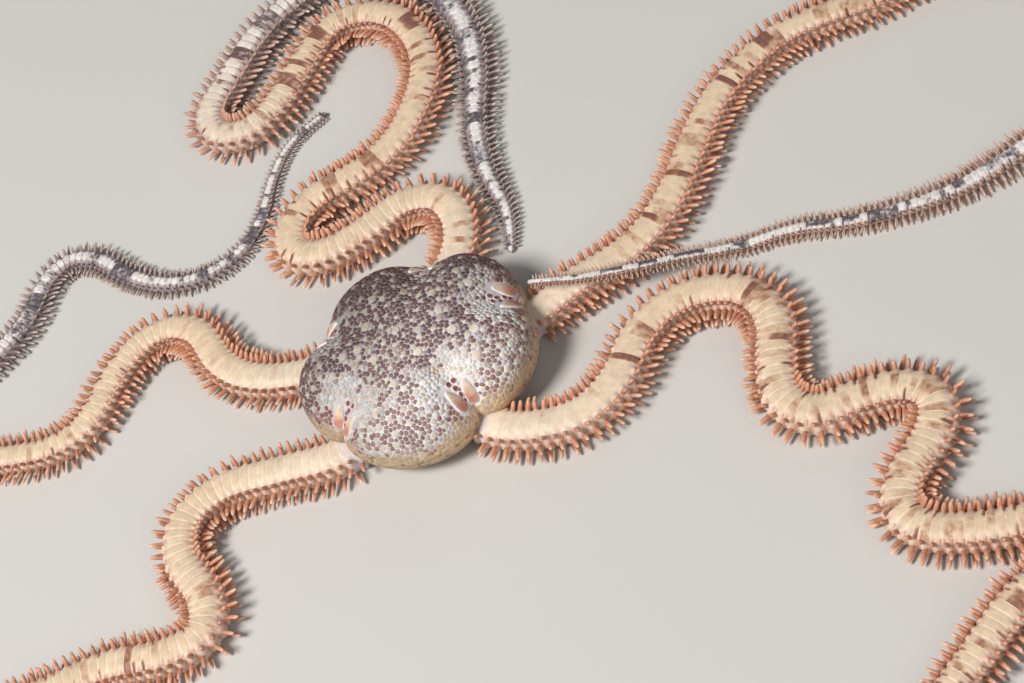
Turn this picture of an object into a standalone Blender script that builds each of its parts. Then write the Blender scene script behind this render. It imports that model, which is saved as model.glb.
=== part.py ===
"""A burrowing brittle star at rest, life size: a lobed disc and five long, winding arms.

The frame has its origin on the ground under the middle of the disc, +Z up. The animal is modelled
in millimetres, and every finished mesh is brought to metres at the end.
"""

import math
import random
from collections import namedtuple

import bmesh
import bpy
import numpy as np
from mathutils import Matrix, Vector
from mathutils.bvhtree import BVHTree

MM = 0.001
GAP = 0.3
ROOF_GAP = 0.34

# Disc: lobes between the arms, and a notch at each arm.
DISC_TOP = 5.0
DISC_COLUMNS = 45
DISC_ROWS = 14
NOTCH_ANGLES = (-46.0, 28.0, 92.0, 165.0, 228.0)
NOTCH_RADII = (4.75, 5.75, 5.45, 5.75, 5.6)
LOBE_RADII = (6.2, 6.6, 6.4, 6.85, 6.3)
LOBE_ROUNDNESS = 0.42
NOTCH_DIP = 0.38
NOTCH_SPREAD = 16.0
WAIST_ROW = 5
WAIST_HEIGHT = 1.4
DISC_SHARP_ANGLE = 35.0
# Disc profile from the middle of the underside up to the middle of the top: share of the
# radius, height.
DISC_PROFILE = (
    (0.0, 0.12),
    (0.36, 0.12),
    (0.63, 0.12),
    (0.8, 0.26),
    (0.91, 0.75),
    (0.975, 1.4),
    (1.0, 2.1),
    (0.99, 2.85),
    (0.94, 3.55),
    (0.85, 4.12),
    (0.7, 4.56),
    (0.48, 4.85),
    (0.24, 4.97),
    (0.0, 5.0),
)

# Radial shields: a pair of long plates at each notch, meeting at their outer ends.
SHIELD_LENGTH = 1.65
SHIELD_WIDTH = 0.78
SHIELD_SPREAD = 15.0
SHIELD_INSET = 0.08
SHIELD_BACK = 0.66
SHIELD_APART = 0.3
SHIELD_RAISE = 0.12
# Round plates of the top: one in the middle, then rings of them: radius, count, size, turn.
ROUND_PLATES = ((0.0, 1, 0.4, 0.0), (1.55, 5, 0.36, 20.0), (3.0, 9, 0.3, 6.0))
ROUND_PLATE_SIDES = 7
PLATE_RAISE = 0.08
PLATE_ROOT = 0.2

# Mouth frame: five jaws that meet under the middle of the disc.
MOUTH_RADIUS = 2.55
MOUTH_SHIELD_RADIUS = 3.25
MOUTH_HEIGHT = 0.55
MOUTH_SLIT = 0.26
MOUTH_SLIT_DEPTH = 0.3
MOUTH_TIP_RADIUS = 0.5
MOUTH_SLIT_END = 1.95
MOUTH_FOOT = ((0.0, 0.96), (0.12, 1.0), (MOUTH_HEIGHT, 1.0))
MOUTH_ROOM_RADIUS = MOUTH_SHIELD_RADIUS + GAP + 0.1
MOUTH_ROOM_SIDES = 20

# Arms: section as shares of the half width and of the height.
ARM_HEIGHT = 0.8
SECTION = (
    (-0.6, 0.0),
    (0.6, 0.0),
    (1.0, 0.42),
    (0.88, 0.77),
    (0.45, 0.98),
    (-0.45, 0.98),
    (-0.88, 0.77),
    (-1.0, 0.42),
)
PLATE_PITCH = 2.2
TIP_PITCH = 1.7
PLATE_TURN = 31.0
PLATE_STEP = 0.14
PLATE_SINK = 0.07
NODE_TURN = 92.0
NODE_LENGTH = 15.0
STEP = 0.05
SPLINE_STEPS = 40
SOFTEN = 1.0
LAST_PLATE = 1.4 * TIP_PITCH
TIP_RINGS = ((0.3, 0.95), (0.0, 0.6))
ARM_SHARP_ANGLE = 40.0
# Hollow in the disc over an arm's base: where it starts and ends along the arm.
CHANNEL_START = -0.5
CHANNEL_END = 8.6
CHANNEL_STEP = 1.3
CHANNEL_FLOOR = -0.5

# Spines: three sided, in two rows on each side.
SPINE_LENGTH = 1.12
SPINE_REACH = 0.62
SPINE_ROOT = 0.34
SPINE_ROOT_SHARE = 0.62
SPINE_TIP = 0.12
SPINE_SUNK = 0.3
SPINE_LEAN = 12.0
SPINE_PHASE = 0.55
SPINE_SHARE = 0.35
SPINE_LEAST = 0.3
UPPER_ROW = (0.86, 0.7, 24.0)
LOWER_ROW = (0.93, 0.4, -4.0)
SPINE_FLOOR = 0.06
BEND_WINDOW = 1.2
LEAST_CURVE = 0.02
CLEAR_STEP = 0.1
DISC_CLEARANCE = 0.6
LEVEL_CLEARANCE = 0.6
OWN_STRETCH = 5.0

Arm = namedtuple("Arm", "name points widths lift")
Course = namedtuple("Course", "name s x y z turn half height")

ARMS = (
    Arm(
        "arm_a",
        (
            (2.1, -2.2), (4.1, -3.8), (6.7, -4.1), (9.0, -3.4), (10.5, -1.6), (11.4, 1.0),
            (13.1, 2.7), (15.2, 3.2), (17.4, 2.6), (18.6, 0.8), (18.8, -1.8), (19.3, -3.9),
            (20.9, -4.9), (23.2, -4.2), (25.6, -3.9), (27.0, -4.8), (26.9, -6.7), (25.5, -9.2),
            (25.5, -11.1), (27.1, -12.1), (29.9, -12.2), (32.2, -12.0), (33.7, -12.8),
            (33.4, -14.4), (31.6, -15.5), (29.2, -18.7), (27.2, -21.8), (26.7, -24.0),
            (27.7, -25.9), (29.8, -27.4), (30.5, -29.3), (29.7, -31.1), (27.9, -32.0),
            (25.7, -31.7), (23.3, -30.2), (21.3, -30.0), (19.7, -31.2), (18.9, -33.5),
        ),
        ((0, 2.1), (30, 2.1), (56, 1.9), (72, 1.2), (87, 0.42)),
        (),
    ),
    Arm(
        "arm_b",
        (
            (2.6, 1.4), (5.4, 2.9), (7.4, 4.6), (10.1, 6.3), (11.6, 8.0), (12.7, 10.5),
            (13.5, 13.5), (14.6, 16.3), (16.1, 18.3), (17.9, 19.9), (20.1, 20.8), (22.7, 21.5),
            (25.4, 22.9), (27.6, 23.7), (29.7, 23.6), (31.6, 22.7), (33.5, 20.7), (35.6, 18.5),
            (36.6, 16.7), (36.5, 14.9), (35.4, 13.3), (33.1, 11.8), (30.1, 9.7), (27.6, 8.3),
            (25.1, 7.6), (22.0, 7.1), (19.1, 7.1), (16.7, 6.5), (14.1, 5.8), (11.2, 4.7),
            (8.7, 4.1), (5.4, 4.0),
        ),
        ((0, 2.1), (28, 1.75), (55, 1.1), (64, 0.75), (79, 0.44), (84, 0.26)),
        (
            (0, 2.45), (1.2, 2.35), (3.7, 2.1), (5.1, 1.85), (6.7, 1.4), (8.3, 0.85),
            (9.9, 0.35), (11.5, 0),
        ),
    ),
    Arm(
        "arm_c",
        (
            (-0.2, 2.9), (-0.2, 5.4), (0.6, 7.8), (0.2, 10.2), (-1.2, 11.6), (-3.1, 11.5),
            (-5.4, 9.8), (-7.7, 8.7), (-9.4, 9.1), (-9.8, 10.8), (-8.8, 12.6), (-6.2, 14.1),
            (-4.3, 15.9), (-3.3, 18.5), (-3.1, 21.3), (-4.1, 23.8), (-5.8, 25.5), (-8.2, 26.0),
            (-10.0, 25.1), (-11.1, 22.7), (-12.4, 19.9), (-14.0, 18.3), (-15.8, 18.5),
            (-16.6, 20.0), (-15.7, 22.6), (-14.4, 25.7), (-12.0, 28.5), (-9.6, 30.2),
            (-7.2, 30.3), (-4.8, 28.8), (-2.5, 26.3), (-0.8, 23.4), (0.0, 20.2), (0.3, 16.9),
            (1.2, 13.8), (2.9, 10.4), (3.3, 7.9),
        ),
        ((0, 2.1), (60, 1.85), (82, 1.4), (90, 1.0), (96, 0.45)),
        (),
    ),
    Arm(
        "arm_d",
        (
            (-2.8, 0.8), (-5.5, 1.2), (-8.0, 0.7), (-10.8, 1.0), (-12.7, 2.2), (-14.4, 4.4),
            (-16.3, 4.9), (-18.0, 4.0), (-19.3, 1.9), (-20.4, -1.0), (-22.2, -2.2),
            (-24.9, -2.5), (-28.1, -2.6), (-30.6, -2.9), (-32.2, -2.0), (-32.8, -0.3),
            (-31.9, 1.4), (-29.5, 2.7), (-27.5, 4.5), (-25.9, 6.9), (-25.3, 9.5), (-24.1, 10.9),
            (-22.3, 10.8), (-19.7, 9.2), (-17.2, 8.4), (-15.0, 8.7), (-13.0, 10.2),
            (-12.2, 12.2), (-12.0, 15.0), (-11.3, 17.5), (-9.3, 19.6),
        ),
        ((0, 2.1), (25, 1.65), (45, 1.25), (60, 0.9), (76, 0.42)),
        (),
    ),
    Arm(
        "arm_e",
        (
            (-1.9, -2.2), (-4.2, -4.5), (-7.7, -5.3), (-11.2, -6.1), (-12.9, -7.8),
            (-12.8, -10.0), (-10.9, -12.6), (-10.6, -14.5), (-12.5, -15.7), (-16.0, -16.2),
            (-19.9, -17.7), (-23.6, -18.7), (-26.5, -19.4), (-27.6, -21.3), (-26.9, -23.4),
            (-24.4, -24.7), (-22.0, -26.1), (-21.4, -28.2), (-22.7, -30.1), (-25.4, -31.0),
            (-27.4, -32.4), (-27.7, -34.5), (-26.1, -36.2), (-23.6, -36.5), (-20.8, -35.3),
            (-18.3, -35.2), (-16.4, -37.0),
        ),
        ((0, 2.1), (25, 2.0), (45, 1.7), (62, 1.0), (74, 0.42)),
        (),
    ),
)

COLOURS = {
    "disc": ((0.46, 0.36, 0.37, 1.0), 0.5),
    "mouth": ((0.78, 0.66, 0.54, 1.0), 0.6),
    "near": ((0.80, 0.60, 0.44, 1.0), 0.5),
    "far": ((0.62, 0.50, 0.46, 1.0), 0.5),
}


def clear_scene():
    """Remove every object of the open scene."""
    for item in list(bpy.data.objects):
        bpy.data.objects.remove(item, do_unlink=True)


def make_material(name):
    """Return a Principled material with the named colour and roughness."""
    colour, roughness = COLOURS[name]
    material = bpy.data.materials.new(name)
    material.use_nodes = True
    shader = material.node_tree.nodes["Principled BSDF"]
    shader.inputs["Base Color"].default_value = colour
    shader.inputs["Roughness"].default_value = roughness
    shader.inputs["Metallic"].default_value = 0.0
    return material


def make_collection(name):
    """Return a new collection linked to the scene."""
    group = bpy.data.collections.new(name)
    bpy.context.scene.collection.children.link(group)
    return group


def object_from(bm, name, group):
    """Turn a bmesh into an object of the collection."""
    bmesh.ops.recalc_face_normals(bm, faces=bm.faces)
    mesh = bpy.data.meshes.new(name)
    bm.to_mesh(mesh)
    bm.free()
    item = bpy.data.objects.new(name, mesh)
    group.objects.link(item)
    return item


def loft(rings, name, group):
    """Skin a row of rings with equal counts and close both ends."""
    bm = bmesh.new()
    rows = [[bm.verts.new(point) for point in ring] for ring in rings]
    count = len(rings[0])
    for low, high in zip(rows, rows[1:]):
        for i in range(count):
            j = (i + 1) % count
            bm.faces.new((low[i], low[j], high[j], high[i]))
    bm.faces.new(tuple(reversed(rows[0])))
    bm.faces.new(tuple(rows[-1]))
    return object_from(bm, name, group)


def keep_largest(mesh):
    """Drop every loose piece of a mesh but the one with the most faces."""
    bm = bmesh.new()
    bm.from_mesh(mesh)
    left = set(bm.faces)
    shells = []
    while left:
        shell = {left.pop()}
        edge_of = list(shell)
        while edge_of:
            face = edge_of.pop()
            for edge in face.edges:
                for other in edge.link_faces:
                    if other in left:
                        left.remove(other)
                        shell.add(other)
                        edge_of.append(other)
        shells.append(shell)
    shells.sort(key=len)
    drop = [face for shell in shells[:-1] for face in shell]
    bmesh.ops.delete(bm, geom=drop, context="FACES")
    bm.to_mesh(mesh)
    bm.free()


def combine(item, group, operation, solver="EXACT"):
    """Apply one Boolean of a collection of closed meshes to an object, then remove them."""
    group.hide_render = True
    for part in group.objects:
        part.display_type = "WIRE"
    cut = item.modifiers.new(operation.lower(), "BOOLEAN")
    cut.operation = operation
    cut.operand_type = "COLLECTION"
    cut.collection = group
    cut.solver = solver
    graph = bpy.context.evaluated_depsgraph_get()
    mesh = bpy.data.meshes.new_from_object(item.evaluated_get(graph))
    item.modifiers.clear()
    item.data = mesh
    keep_largest(mesh)
    for part in list(group.objects):
        bpy.data.objects.remove(part, do_unlink=True)
    bpy.data.collections.remove(group)


def centripetal(points, count):
    """Return points along a centripetal Catmull-Rom spline through the given ones."""
    given = np.array(points, dtype=float)
    first = 2.0 * given[0] - given[1]
    last = 2.0 * given[-1] - given[-2]
    knots = np.vstack([first, given, last])
    t = np.linspace(0.0, 1.0, count, endpoint=False)[:, None]
    pieces = []
    for i in range(1, len(knots) - 2):
        p0, p1, p2, p3 = knots[i - 1 : i + 3]
        before, here, after = (
            math.sqrt(np.linalg.norm(b - a)) for a, b in ((p0, p1), (p1, p2), (p2, p3))
        )
        m1 = here * ((p1 - p0) / before - (p2 - p0) / (before + here)) + p2 - p1
        m2 = here * ((p3 - p2) / after - (p3 - p1) / (here + after)) + p2 - p1
        piece = (2 * t**3 - 3 * t**2 + 1) * p1 + (t**3 - 2 * t**2 + t) * m1
        piece += (3 * t**2 - 2 * t**3) * p2 + (t**3 - t**2) * m2
        pieces.append(piece)
    pieces.append(knots[-2][None])
    return np.vstack(pieces)


def soften(values):
    """Return values averaged along the arm, with both ends kept in place."""
    count = round(SOFTEN / STEP)
    weights = np.hanning(2 * count + 3)[1:-1]
    head = 2.0 * values[0] - values[count:0:-1]
    tail = 2.0 * values[-1] - values[-2 : -count - 2 : -1]
    padded = np.concatenate([head, values, tail])
    return np.convolve(padded, weights / weights.sum(), mode="valid")


def chart(arm):
    """Return an arm's course: place, lift, heading, half width and height at each step."""
    line = centripetal(arm.points, SPLINE_STEPS)
    for _ in range(2):
        run = np.concatenate([[0.0], np.cumsum(np.hypot(*np.diff(line, axis=0).T))])
        s = np.arange(0.0, run[-1], STEP)
        line = np.stack([soften(np.interp(s, run, line[:, k])) for k in range(2)], axis=1)
    x, y = line.T
    turn = np.unwrap(np.arctan2(np.gradient(y), np.gradient(x)))
    places = np.array(arm.widths, dtype=float)
    half = 0.5 * np.interp(s, places[:, 0], places[:, 1])
    z = np.zeros_like(s)
    if arm.lift:
        steps = np.array(arm.lift, dtype=float)
        z = np.interp(s[-1] - s, steps[:, 0], steps[:, 1])
    return Course(arm.name, s, x, y, z, turn, half, 2.0 * half * ARM_HEIGHT)


def at(course, s):
    """Return place, heading, half width and height of a course at the length s."""
    values = [np.interp(s, course.s, getattr(course, key)) for key in Course._fields[2:]]
    x, y, z, turn, half, height = (float(v) for v in values)
    return Vector((x, y, z)), turn, half, height


def ring(course, s, swell):
    """Return the arm's section at s, scaled by swell."""
    place, turn, half, height = at(course, s)
    across = Vector((math.sin(turn), -math.cos(turn), 0.0))
    points = []
    for u, v in SECTION:
        wide = u * half * (swell if v > 0.0 else 1.0)
        points.append(place + across * wide + Vector((0.0, 0.0, v * height * swell)))
    return points


def plate_marks(course):
    """Return the lengths at which one dorsal plate ends and the next begins."""
    marks = [0.0]
    end = float(course.s[-1])
    while end - marks[-1] > LAST_PLATE:
        start = marks[-1]
        share = start / end
        pitch = PLATE_PITCH * (1.0 - share) + TIP_PITCH * share
        heading = at(course, start)[1]
        s = start + 0.5 * pitch
        while s < start + pitch and abs(at(course, s)[1] - heading) < math.radians(PLATE_TURN):
            s += STEP
        marks.append(s)
    marks.append(end)
    return marks


def node_spans(course, marks):
    """Group the plates into lengths that turn little enough for one node each."""
    spans = []
    start = 0
    low = high = at(course, marks[0])[1]
    for i in range(1, len(marks)):
        heading = at(course, marks[i])[1]
        new_low = min(low, heading)
        new_high = max(high, heading)
        wide = new_high - new_low > math.radians(NODE_TURN)
        if i - start > 1 and (wide or marks[i] - marks[start] > NODE_LENGTH):
            spans.append((start, i - 1))
            start = i - 1
            before = at(course, marks[start])[1]
            new_low = min(before, heading)
            new_high = max(before, heading)
        low = new_low
        high = new_high
    spans.append((start, len(marks) - 1))
    return spans


def outline(angle):
    """Return the disc's radius at an angle in degrees."""
    for i, notch in enumerate(NOTCH_ANGLES):
        j = (i + 1) % len(NOTCH_ANGLES)
        wide = (NOTCH_ANGLES[j] - notch) % 360.0
        along = ((angle - notch) % 360.0) / wide
        if along <= 1.0:
            base = NOTCH_RADII[i] * (1.0 - along) + NOTCH_RADII[j] * along
            lobe = LOBE_RADII[i] - 0.5 * (NOTCH_RADII[i] + NOTCH_RADII[j])
            return base + lobe * math.sin(math.pi * along) ** LOBE_ROUNDNESS
    return NOTCH_RADII[0]


def notch_share(angle):
    """Return 1 at a notch, falling to 0 between the arms."""
    away = min(abs((angle - notch + 180.0) % 360.0 - 180.0) for notch in NOTCH_ANGLES)
    return math.exp(-((away / NOTCH_SPREAD) ** 2))


def build_disc_body(name, group):
    """Shape a sphere's rows into the disc's lobed profile."""
    bm = bmesh.new()
    bmesh.ops.create_uvsphere(bm, u_segments=DISC_COLUMNS, v_segments=DISC_ROWS - 1, radius=1.0)
    for vert in bm.verts:
        row = round((math.asin(max(-1.0, min(1.0, vert.co.z))) / math.pi + 0.5) * (DISC_ROWS - 1))
        share, height = DISC_PROFILE[row]
        angle = math.degrees(math.atan2(vert.co.y, vert.co.x))
        radius = outline(angle) * share if share else 0.0
        if row > WAIST_ROW:
            height -= (height - WAIST_HEIGHT) * NOTCH_DIP * notch_share(angle) * share**2
        vert.co = Vector(
            (
                radius * math.cos(math.radians(angle)),
                radius * math.sin(math.radians(angle)),
                height,
            )
        )
    return object_from(bm, name, group)


def channel(course, group):
    """Make the hollow that an arm's base lies in, a gap wider than the arm all round."""
    rings = []
    for s in np.arange(CHANNEL_START, CHANNEL_END, CHANNEL_STEP):
        place, turn, half, height = at(course, max(s, 0.0))
        ahead = Vector((math.cos(turn), math.sin(turn), 0.0))
        across = Vector((math.sin(turn), -math.cos(turn), 0.0))
        place = place + ahead * min(s, 0.0)
        points = []
        for u, v in SECTION:
            wide = half + GAP if v == 0.0 else abs(u) * half + GAP
            tall = height * v + ROOF_GAP if v > 0.0 else CHANNEL_FLOOR
            points.append(place + across * math.copysign(wide, u) + Vector((0.0, 0.0, tall)))
        rings.append(points)
    loft(rings, "channel", group)


def plate_on(tree, x, y, shape, raise_by, group):
    """Set a low plate with the given outline, (x, y) points, on the disc's top."""
    above = Vector((x, y, 2.0 * DISC_TOP))
    hit, normal, _, _ = tree.ray_cast(above, Vector((0.0, 0.0, -1.0)))
    side = Vector((1.0, 0.0, 0.0))
    side = (side - normal * side.dot(normal)).normalized()
    other = normal.cross(side)
    rings = []
    for lift, size in ((-PLATE_ROOT, 1.0), (0.3 * raise_by, 1.0), (raise_by, 0.8)):
        rings.append([hit + normal * lift + (side * a + other * b) * size for a, b in shape])
    loft(rings, "plate", group)


def teardrop(angle):
    """Return a shield's outline, its blunt end towards the middle of the disc."""
    half_long = 0.5 * SHIELD_LENGTH
    half_wide = 0.5 * SHIELD_WIDTH
    outline_points = (
        (1.0, 0.0),
        (0.45, 0.62),
        (-0.35, 1.0),
        (-0.88, 0.6),
        (-1.0, 0.0),
        (-0.88, -0.6),
        (-0.35, -1.0),
        (0.45, -0.62),
    )
    c = math.cos(angle)
    s = math.sin(angle)
    scaled = [(a * half_long, b * half_wide) for a, b in outline_points]
    return [(a * c - b * s, a * s + b * c) for a, b in scaled]


def build_disc(name, group, courses):
    """Model the disc with its arm channels, radial shields and round plates."""
    disc = build_disc_body(name, group)
    cutters = make_collection("disc_cutters")
    for course in courses:
        channel(course, cutters)
    bm = bmesh.new()
    bmesh.ops.create_cone(
        bm,
        cap_ends=True,
        segments=MOUTH_ROOM_SIDES,
        radius1=MOUTH_ROOM_RADIUS,
        radius2=MOUTH_ROOM_RADIUS,
        depth=2.0,
        matrix=Matrix.Translation((0.0, 0.0, MOUTH_HEIGHT + GAP - 1.0)),
    )
    object_from(bm, "mouth_room", cutters)
    combine(disc, cutters, "DIFFERENCE", "MANIFOLD")
    bm = bmesh.new()
    bm.from_mesh(disc.data)
    tree = BVHTree.FromBMesh(bm)
    bm.free()
    plates = make_collection("disc_plates")
    for notch in NOTCH_ANGLES:
        for side in (-1.0, 1.0):
            heading = math.radians(notch + side * SHIELD_SPREAD)
            apex = outline(notch) - SHIELD_INSET
            x = apex * math.cos(math.radians(notch))
            y = apex * math.sin(math.radians(notch))
            x -= SHIELD_BACK * math.cos(heading)
            y -= SHIELD_BACK * math.sin(heading)
            x += side * SHIELD_APART * math.sin(math.radians(notch))
            y -= side * SHIELD_APART * math.cos(math.radians(notch))
            plate_on(tree, x, y, teardrop(heading), SHIELD_RAISE, plates)
    for radius, count, size, first in ROUND_PLATES:
        for i in range(count):
            angle = math.radians(first + 360.0 * i / count)
            corners = [2.0 * math.pi * k / ROUND_PLATE_SIDES for k in range(ROUND_PLATE_SIDES)]
            shape = [(size * math.cos(corner), size * math.sin(corner)) for corner in corners]
            x = radius * math.cos(angle)
            y = radius * math.sin(angle)
            plate_on(tree, x, y, shape, PLATE_RAISE, plates)
    combine(disc, plates, "UNION", "MANIFOLD")
    return disc


def build_mouth(name, group):
    """Model the mouth frame: a star of five jaws parted by slits in line with the arms."""
    ring_points = []
    for i, notch in enumerate(NOTCH_ANGLES):
        after = notch + (NOTCH_ANGLES[(i + 1) % len(NOTCH_ANGLES)] - notch) % 360.0
        middle = 0.5 * (notch + after)
        steps = (
            (notch, MOUTH_RADIUS),
            (0.6 * notch + 0.4 * middle, MOUTH_RADIUS),
            (0.3 * notch + 0.7 * middle, MOUTH_SHIELD_RADIUS),
            (0.3 * after + 0.7 * middle, MOUTH_SHIELD_RADIUS),
            (0.6 * after + 0.4 * middle, MOUTH_RADIUS),
        )
        ring_points += [(math.radians(a), r) for a, r in steps]
    rings = []
    for height, size in MOUTH_FOOT:
        rings.append(
            [(r * size * math.cos(a), r * size * math.sin(a), height) for a, r in ring_points]
        )
    mouth = loft(rings, name, group)
    slits = make_collection("mouth_cutters")
    length = MOUTH_SLIT_END - MOUTH_TIP_RADIUS
    for notch in NOTCH_ANGLES:
        bm = bmesh.new()
        turn = Matrix.Rotation(math.radians(notch), 4, "Z")
        middle = Matrix.Translation((0.5 * (MOUTH_SLIT_END + MOUTH_TIP_RADIUS), 0.0, 0.0))
        size = Matrix.Diagonal((length, MOUTH_SLIT, 2.0 * MOUTH_SLIT_DEPTH, 1.0))
        bmesh.ops.create_cube(bm, size=1.0, matrix=turn @ middle @ size)
        object_from(bm, "slit", slits)
    combine(mouth, slits, "DIFFERENCE")
    return mouth


def clear_length(course, own_s, root, heading, wanted, courses):
    """Return how long a spine can be before it nears the disc or another stretch of arm."""
    length = 0.0
    while length < wanted:
        length += CLEAR_STEP
        point = root + heading * length
        angle = math.degrees(math.atan2(point.y, point.x))
        if math.hypot(point.x, point.y) < outline(angle) + DISC_CLEARANCE:
            return length - CLEAR_STEP
        for other in courses:
            near = np.hypot(other.x - point.x, other.y - point.y) - other.half - length - GAP
            level = other.z < point.z + LEVEL_CLEARANCE
            level &= other.z + other.height > point.z - LEVEL_CLEARANCE
            if other is course:
                level &= np.abs(other.s - own_s) > OWN_STRETCH
            if np.any(near[level] < 0.0):
                return length - CLEAR_STEP
    return wanted


def spine(root, heading, length, thick, group):
    """Make one tapered three sided spine with its root sunk in the arm."""
    bm = bmesh.new()
    place = Matrix.Translation(root + heading * (0.5 * length - SPINE_SUNK * 0.5))
    turn = heading.to_track_quat("Z", "Y").to_matrix().to_4x4()
    bmesh.ops.create_cone(
        bm,
        cap_ends=True,
        segments=3,
        radius1=thick,
        radius2=min(SPINE_TIP, 0.5 * thick),
        depth=length + SPINE_SUNK,
        matrix=place @ turn,
    )
    object_from(bm, "spine", group)


def add_spines(course, marks, first, last, group, courses, rng):
    """Root a spine on each side at every plate of a node, in an upper and a lower row."""
    for i in range(first, last):
        s = marks[i] + (marks[i + 1] - marks[i]) * SPINE_PHASE
        place, turn, half, height = at(course, s)
        ahead = Vector((math.cos(turn), math.sin(turn), 0.0))
        for side in (-1.0, 1.0):
            across = Vector((math.sin(turn), -math.cos(turn), 0.0)) * side
            upper = (i + (side > 0.0)) % 2 == 0
            u, v, rise = UPPER_ROW if upper else LOWER_ROW
            root = place + across * (u * half) + Vector((0.0, 0.0, v * height))
            lean = math.radians(SPINE_LEAN + rng.uniform(-8.0, 8.0))
            lift = math.radians(rise + rng.uniform(-5.0, 5.0))
            flat = across * math.cos(lean) + ahead * math.sin(lean)
            heading = flat * math.cos(lift) + Vector((0.0, 0.0, math.sin(lift)))
            share = SPINE_SHARE + (1.0 - SPINE_SHARE) * min(1.0, half)
            wanted = SPINE_LENGTH * share * rng.uniform(0.88, 1.06)
            room = SPINE_REACH * bend_radius(course, s, side) - half
            wanted = min(wanted, max(SPINE_SHARE, room))
            length = clear_length(course, s, root, heading, wanted, courses)
            low = root.z + heading.z * length
            if length > SPINE_LEAST and low > SPINE_FLOOR + SPINE_TIP:
                spine(root, heading, length, min(SPINE_ROOT, SPINE_ROOT_SHARE * half), group)


def bend_radius(course, s, side):
    """Return the radius of the bend on one side of an arm, long where it bends away."""
    before = at(course, s - BEND_WINDOW)[1]
    after = at(course, s + BEND_WINDOW)[1]
    curve = (before - after) / (2.0 * BEND_WINDOW) * side
    return 1.0 / max(curve, LEAST_CURVE)


def build_arm(course, group, materials, courses, rng):
    """Model one arm as a row of nodes, each a run of overlapping plates."""
    marks = plate_marks(course)
    end = float(course.s[-1])
    for number, (first, last) in enumerate(node_spans(course, marks), 1):
        rings = []
        for i in range(first, last):
            start = marks[i] + 0.5 * (GAP if i == first and first > 0 else PLATE_STEP)
            stop = marks[i + 1]
            rings.append(ring(course, start, 1.0 - PLATE_SINK))
            if stop >= end:
                rings += [ring(course, end - back, swell) for back, swell in TIP_RINGS]
            else:
                rings.append(ring(course, stop - 0.5 * (GAP if i + 1 == last else PLATE_STEP), 1.0))
        node = loft(rings, f"{course.name}_{number:02d}", group)
        spines = make_collection("spines")
        add_spines(course, marks, first, last, spines, courses, rng)
        combine(node, spines, "UNION")
        finish(node, materials["near" if first * 2 < len(marks) else "far"], ARM_SHARP_ANGLE)


def finish(item, material, sharp_angle):
    """Give an object its one material, and smooth shading up to an angle."""
    item.data.materials.clear()
    item.data.materials.append(material)
    item.data.shade_smooth()
    item.data.set_sharp_from_angle(angle=math.radians(sharp_angle))


def main():
    """Build the whole animal."""
    clear_scene()
    rng = random.Random(11)
    group = make_collection("brittle_star")
    materials = {name: make_material(name) for name in COLOURS}
    courses = [chart(arm) for arm in ARMS]
    finish(build_disc("disc", group, courses), materials["disc"], DISC_SHARP_ANGLE)
    finish(build_mouth("mouth_frame", group), materials["mouth"], ARM_SHARP_ANGLE)
    for course in courses:
        build_arm(course, group, materials, courses, rng)
    for item in group.objects:
        item.data.transform(Matrix.Scale(MM, 4))


main()
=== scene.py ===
"""A burrowing brittle star at rest, life size: the dressed model.

The swollen disc wears a skin of small scales with rounder plates and five pairs of radial
shields. Each arm wears a skin of overlapping back plates and spine-bearing side plates, and a
coat of three rows of spines on each side. Shapes are worked out in millimetres, in the frame of
the solids, and brought to metres when a mesh is made.
"""

import logging
import math
from dataclasses import dataclass, field
from enum import Enum

import bpy
import numpy as np
from bpy.types import Material, Node, Object
from mathutils import Matrix, Vector, noise
from mathutils.bvhtree import BVHTree
from mathutils.kdtree import KDTree
from numpy.linalg import norm
from numpy.random import Generator, default_rng


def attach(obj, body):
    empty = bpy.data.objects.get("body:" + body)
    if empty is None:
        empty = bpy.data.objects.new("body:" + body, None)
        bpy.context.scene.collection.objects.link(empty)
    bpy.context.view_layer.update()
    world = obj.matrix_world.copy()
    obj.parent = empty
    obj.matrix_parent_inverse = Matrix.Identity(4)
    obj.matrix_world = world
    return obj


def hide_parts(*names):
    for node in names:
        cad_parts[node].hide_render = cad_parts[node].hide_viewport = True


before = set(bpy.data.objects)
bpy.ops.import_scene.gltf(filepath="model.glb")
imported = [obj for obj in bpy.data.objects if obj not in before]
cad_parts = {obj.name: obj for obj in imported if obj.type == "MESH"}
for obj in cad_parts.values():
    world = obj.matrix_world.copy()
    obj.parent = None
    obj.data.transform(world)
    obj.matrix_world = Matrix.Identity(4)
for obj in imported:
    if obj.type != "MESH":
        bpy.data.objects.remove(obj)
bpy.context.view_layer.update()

Array = np.ndarray
Pair = tuple[float, float]
Triple = tuple[float, float, float]
Colour = Triple
Table = dict[str, Array]

MM = 0.001
SHIELD_BULGE = 0.64
SKIN_SEED = 30
SPINE_SEED = 60
LOG = logging.getLogger("brittle_star")


class Slot(Enum):
    """Material slots of the record."""

    DISC = "disc_scales"
    ARM = "arm_plates"


class Side(Enum):
    """How far across an arm's back a dark band reaches."""

    LEFT = -1.0
    WHOLE = 0.0
    RIGHT = 1.0


class Kind(Enum):
    """What a piece of the disc's paving is."""

    SCALE = 0
    ROUND = 1
    LARGE = 2
    SHIELD = 3
    KNOB = 4
    WEDGE = 5


def ease(low: float | Array, high: float | Array, value: Array) -> Array:
    """Return a smooth ramp from 0 at low to 1 at high, which may be below low."""
    share = np.clip((value - low) / (high - low), 0.0, 1.0)
    return share * share * (3.0 - 2.0 * share)


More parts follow.
